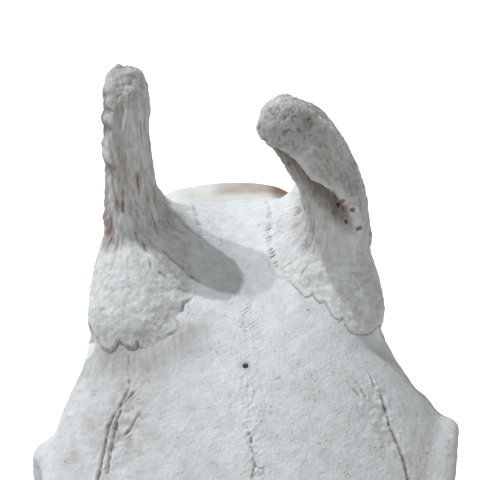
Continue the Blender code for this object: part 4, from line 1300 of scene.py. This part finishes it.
# Cheek teeth
# Three premolars and three molars on each side, above and below: high crowns of enamel folded into
# crescents, with darker dentine and stain between the folds, set close together in the bone.

UPPER = ((20, 20), (21, 25), (21, 28), (27, 30), (30, 32), (30, 30))
LOWER = ((17, 12), (19, 15), (21, 17), (26, 19), (28, 20), (36, 18))
TOOTH_CORNER = 50
UPPER_ROW = through([(225, 37), (300, 45), (375, 48)])
LOWER_ROW = through([(224, 34), (300, 41), (372, 46)])


def enamel_finish(name):
    """Enamel streaked along the crown, pale to tan, with dark stain where a tooth carries it."""
    material, tree, shader, spots = begun(name)
    drawn = wired(tree, "ShaderNodeMapping", Vector=spots, i3=(1.0, 1.0, 0.16)).outputs["Vector"]
    streak = noise(tree, drawn, 420.0, 4.0)
    colour = mixed(tree, ranged(tree, streak, 0.35, 0.68), (0.74, 0.68, 0.54, 1), (0.47, 0.36, 0.22, 1))
    colour = stained(tree, "brown", colour, (0.13, 0.075, 0.035, 1))
    matt = ranged(tree, streak, 0.3, 0.7, 0.28, 0.5)
    dressed(tree, shader, colour, matt, Strength=0.35, Distance=0.0003, Height=streak)
    return material


def cheek_tooth(x, s, neck, crown, wide, long, twist):
    """A crown from its neck in the bone to its grinding face, with two folds on its outer side."""
    turns = np.linspace(0, 2 * math.pi, 64, endpoint=False)
    c, d = np.cos(turns), np.sin(turns)
    reach = (np.abs(c) ** 3.6 + np.abs(d) ** 3.6) ** (-1 / 3.6)
    fold = 1 + 0.075 * np.cos(4 * turns) * (0.5 + 0.5 * np.abs(c)) - 0.11 * bell(d * reach, 0.13)
    rings, stain = [], []
    rows = [(t, 0.86 + 0.13 * math.sin(min(t * 1.9, 1.5)) - 0.05 * t) for t in np.linspace(0, 1, 9)]
    rows += [(1.0, share) for share in (0.90, 0.80, 0.68, 0.55, 0.42, 0.28, 0.14)]
    way = 1 if crown > neck else -1
    for level, share in rows:
        u = wide / 2 * c * reach * fold * share
        v = long / 2 * d * reach * (1 + 0.02 * np.cos(4 * turns)) * share
        grinding = level >= 1.0
        lobes = np.minimum(np.hypot(u / (wide * 0.24), (np.abs(v) - long * 0.25) / (long * 0.17)), 3)
        ridge = bell(lobes - 1.0, 0.28)
        height = np.full(len(turns), neck + (crown - neck) * level)
        if grinding:
            height = height + way * (0.9 * ridge - 1.3)
        rings.append([
            (x + a * math.cos(twist) - b * math.sin(twist),
             s + a * math.sin(twist) + b * math.cos(twist), z)
            for a, b, z in zip(u, v, height)
        ])
        neck_stain = max(0.0, 1 - level * 5) * 0.6
        folds = grinding and share < 0.93
        stain.append(0.25 + 0.55 * (1 - ridge) if folds else np.full(len(turns), neck_stain))
    tooth = loft(rings)
    painted(tooth, "brown", np.concatenate([*stain, [0.6, 0.7]]))
    return tooth


enamel = enamel_finish("enamel")
for label, sizes, start, row, neck, crown in (
    ("upper", UPPER, 226, UPPER_ROW, 17.0, 0.5), ("lower", LOWER, 225, LOWER_ROW, -16.5, -0.5),
):
    teeth, s = [], start
    for long, wide in sizes:
        middle = s + long / 2
        twist = -math.atan2(row(middle + 5) - row(middle - 5), 10)
        teeth.append(cheek_tooth(row(middle), middle, neck, crown, wide, long + 0.2, twist))
        s += long
    both_sides(massed(label, teeth), label + "_cheek_teeth", enamel, corner=TOOTH_CORNER)


# Front teeth
# Eight spade-shaped teeth fanned out along the tip of the lower jaw, worn at the edge. The snout
# above them has none.

FRONT_TEETH = 4
FIRST_ROOT = (4.6, 14.0, -8.0)
ROOT_STEP = (6.0, 2.4, 0.0)
FIRST_LEAN = math.radians(8)
LEAN_STEP = math.radians(17)


def front_tooth():
    """A spade-shaped tooth that points straight ahead, hollowed a little on its upper face."""
    way = Vector((0, -1, 0.28))
    rings, stain = [], []
    for far, wide, thick in (
        (0, 2.8, 3.0), (4, 3.0, 3.1), (8, 3.4, 3.2), (11, 4.2, 3.1), (14, 5.1, 2.8), (17, 5.6, 2.4),
        (20, 5.6, 1.9), (22, 5.5, 1.5), (23, 5.3, 1.1),
    ):
        ring = []
        for a in np.linspace(0, 2 * math.pi, 28, endpoint=False):
            hollow = 0.35 * thick * max(0.0, math.sin(a)) * ease(6, 18, far)
            ring.append(way * far + Vector((wide * math.cos(a), 0, thick * math.sin(a) - hollow)))
        stain += [0.5 * max(0.0, 1 - len(rings) / 3)] * len(ring)
        rings.append(ring)
    tooth = loft(rings)
    painted(tooth, "brown", [*stain, 0.5, 0.3])
    return tooth


def fan_tree():
    """Sets one tooth down again and again along a line, each turned further out than the last."""
    tree = bpy.data.node_groups.new("teeth in a fan", "GeometryNodeTree")
    sockets(
        tree, "INPUT", ("Tooth", "Geometry"), ("Count", "Int"), ("First root", "Vector"),
        ("Root step", "Vector"), ("First lean", "Float"), ("Lean step", "Float"), ("Finish", "Material"),
    )
    sockets(tree, "OUTPUT", ("Fan", "Geometry"))
    given = tree.nodes.new("NodeGroupInput").outputs
    roots = wired(tree, "GeometryNodeMeshLine", mode="OFFSET", **{
        "Count": given["Count"], "Start Location": given["First root"], "Offset": given["Root step"]})
    number = tree.nodes.new("GeometryNodeInputIndex").outputs["Index"]
    lean = maths(tree, "MULTIPLY_ADD", number, given["Lean step"], given["First lean"])
    turned = wired(tree, "ShaderNodeCombineXYZ", Z=lean)
    placed = wired(tree, "GeometryNodeInstanceOnPoints", Points=roots.outputs["Mesh"],
                   Instance=given["Tooth"], Rotation=turned.outputs["Vector"])
    real = wired(tree, "GeometryNodeRealizeInstances", Geometry=placed.outputs["Instances"])
    finished = wired(tree, "GeometryNodeSetMaterial", Geometry=real.outputs["Geometry"],
                     Material=given["Finish"])
    wired(tree, "NodeGroupOutput", Fan=finished.outputs["Geometry"])
    return tree


fan = front_tooth()
row = fan.modifiers.new("row", "NODES")
row.node_group = fan_tree()
for name, value in (
    ("Count", FRONT_TEETH), ("First root", FIRST_ROOT), ("Root step", ROOT_STEP),
    ("First lean", FIRST_LEAN), ("Lean step", LEAN_STEP), ("Finish", enamel),
):
    row[row.node_group.interface.items_tree[name].identifier] = value
settled(fan)
both_sides(fan, "front_teeth", enamel, corner=TOOTH_CORNER)


# Floor, light and camera
# The skull rests on a pale floor. Two narrow lamps stand behind it on its right and throw its shadows;
# a wide weak one in front and a bright room fill the shade. The camera looks down on the forehead.

LIGHT_COLOUR = (0.955, 0.99, 1.035)
ROOM_COLOUR, ROOM_STRENGTH = (0.96, 0.98, 0.98, 1), 0.36
FLOOR_GLOW = 0.7
SENSOR, PICTURE = 36.0, 480

mesh = bpy.data.meshes.new("floor")
mesh.from_pydata([(-6, -6, 0), (6, -6, 0), (6, 6, 0), (-6, 6, 0)], [], [(0, 1, 2, 3)])
floor = linked("floor", mesh)
pale = bpy.data.materials.new("pale floor")
pale.use_nodes = True
shader = pale.node_tree.nodes["Principled BSDF"]
shader.inputs["Base Color"].default_value = (0.86, 0.86, 0.86, 1)
shader.inputs["Roughness"].default_value = 0.9
shader.inputs["Emission Color"].default_value = (1, 1, 1, 1)
ray = pale.node_tree.nodes.new("ShaderNodeLightPath").outputs["Is Camera Ray"]
glow = maths(pale.node_tree, "MULTIPLY", ray, FLOOR_GLOW)
pale.node_tree.links.new(glow, shader.inputs["Emission Strength"])
mesh.materials.append(pale)

lean = Matrix.Rotation(DIP, 3, "X")
for name, way, strength, spread in (
    # name, where it stands, strength, width in degrees
    ("lamp one", (-0.40, 0.60, 0.69), 1.65, 1.2), ("lamp two", (-0.525, 0.545, 0.653), 1.2, 1.2),
    ("wall light", (-0.15, -0.85, 0.50), 0.40, 40.0),
):
    lamp = bpy.data.lights.new(name, "SUN")
    lamp.energy = strength
    lamp.angle = math.radians(spread)
    lamp.color = LIGHT_COLOUR
    stand = linked(name, lamp)
    stand.rotation_mode = "QUATERNION"
    stand.rotation_quaternion = (lean @ Vector(way)).to_track_quat("Z", "Y")

world = bpy.data.worlds.new("room")
world.use_nodes = True
room = world.node_tree.nodes["Background"].inputs
room["Color"].default_value, room["Strength"].default_value = ROOM_COLOUR, ROOM_STRENGTH
bpy.context.scene.world = world
bpy.context.scene.view_settings.view_transform = "Standard"

# Nearly straight in front of the skull and half way up, looking at the ossicones' feet
turn, rise, away, focus = math.radians(-4.1), math.radians(44.2), 499.0, 920.0
target = Vector((3.0, 507, 180))
back = Vector((math.sin(turn) * math.cos(rise), -math.cos(turn) * math.cos(rise), math.sin(rise)))
forward = (place.to_3x3() @ -back).normalized()
right = forward.cross(place.to_3x3() @ Vector((0, 0, 1))).normalized()
upward = right.cross(forward)
camera = linked("camera", bpy.data.cameras.new("camera"))
camera.matrix_world = Matrix.Translation(place @ (target + back * away)) @ Matrix(
    (right, upward, -forward)).transposed().to_4x4()
camera.data.sensor_width = SENSOR
camera.data.lens = focus / PICTURE * SENSOR
camera.data.clip_start = 0.01
bpy.context.scene.camera = camera
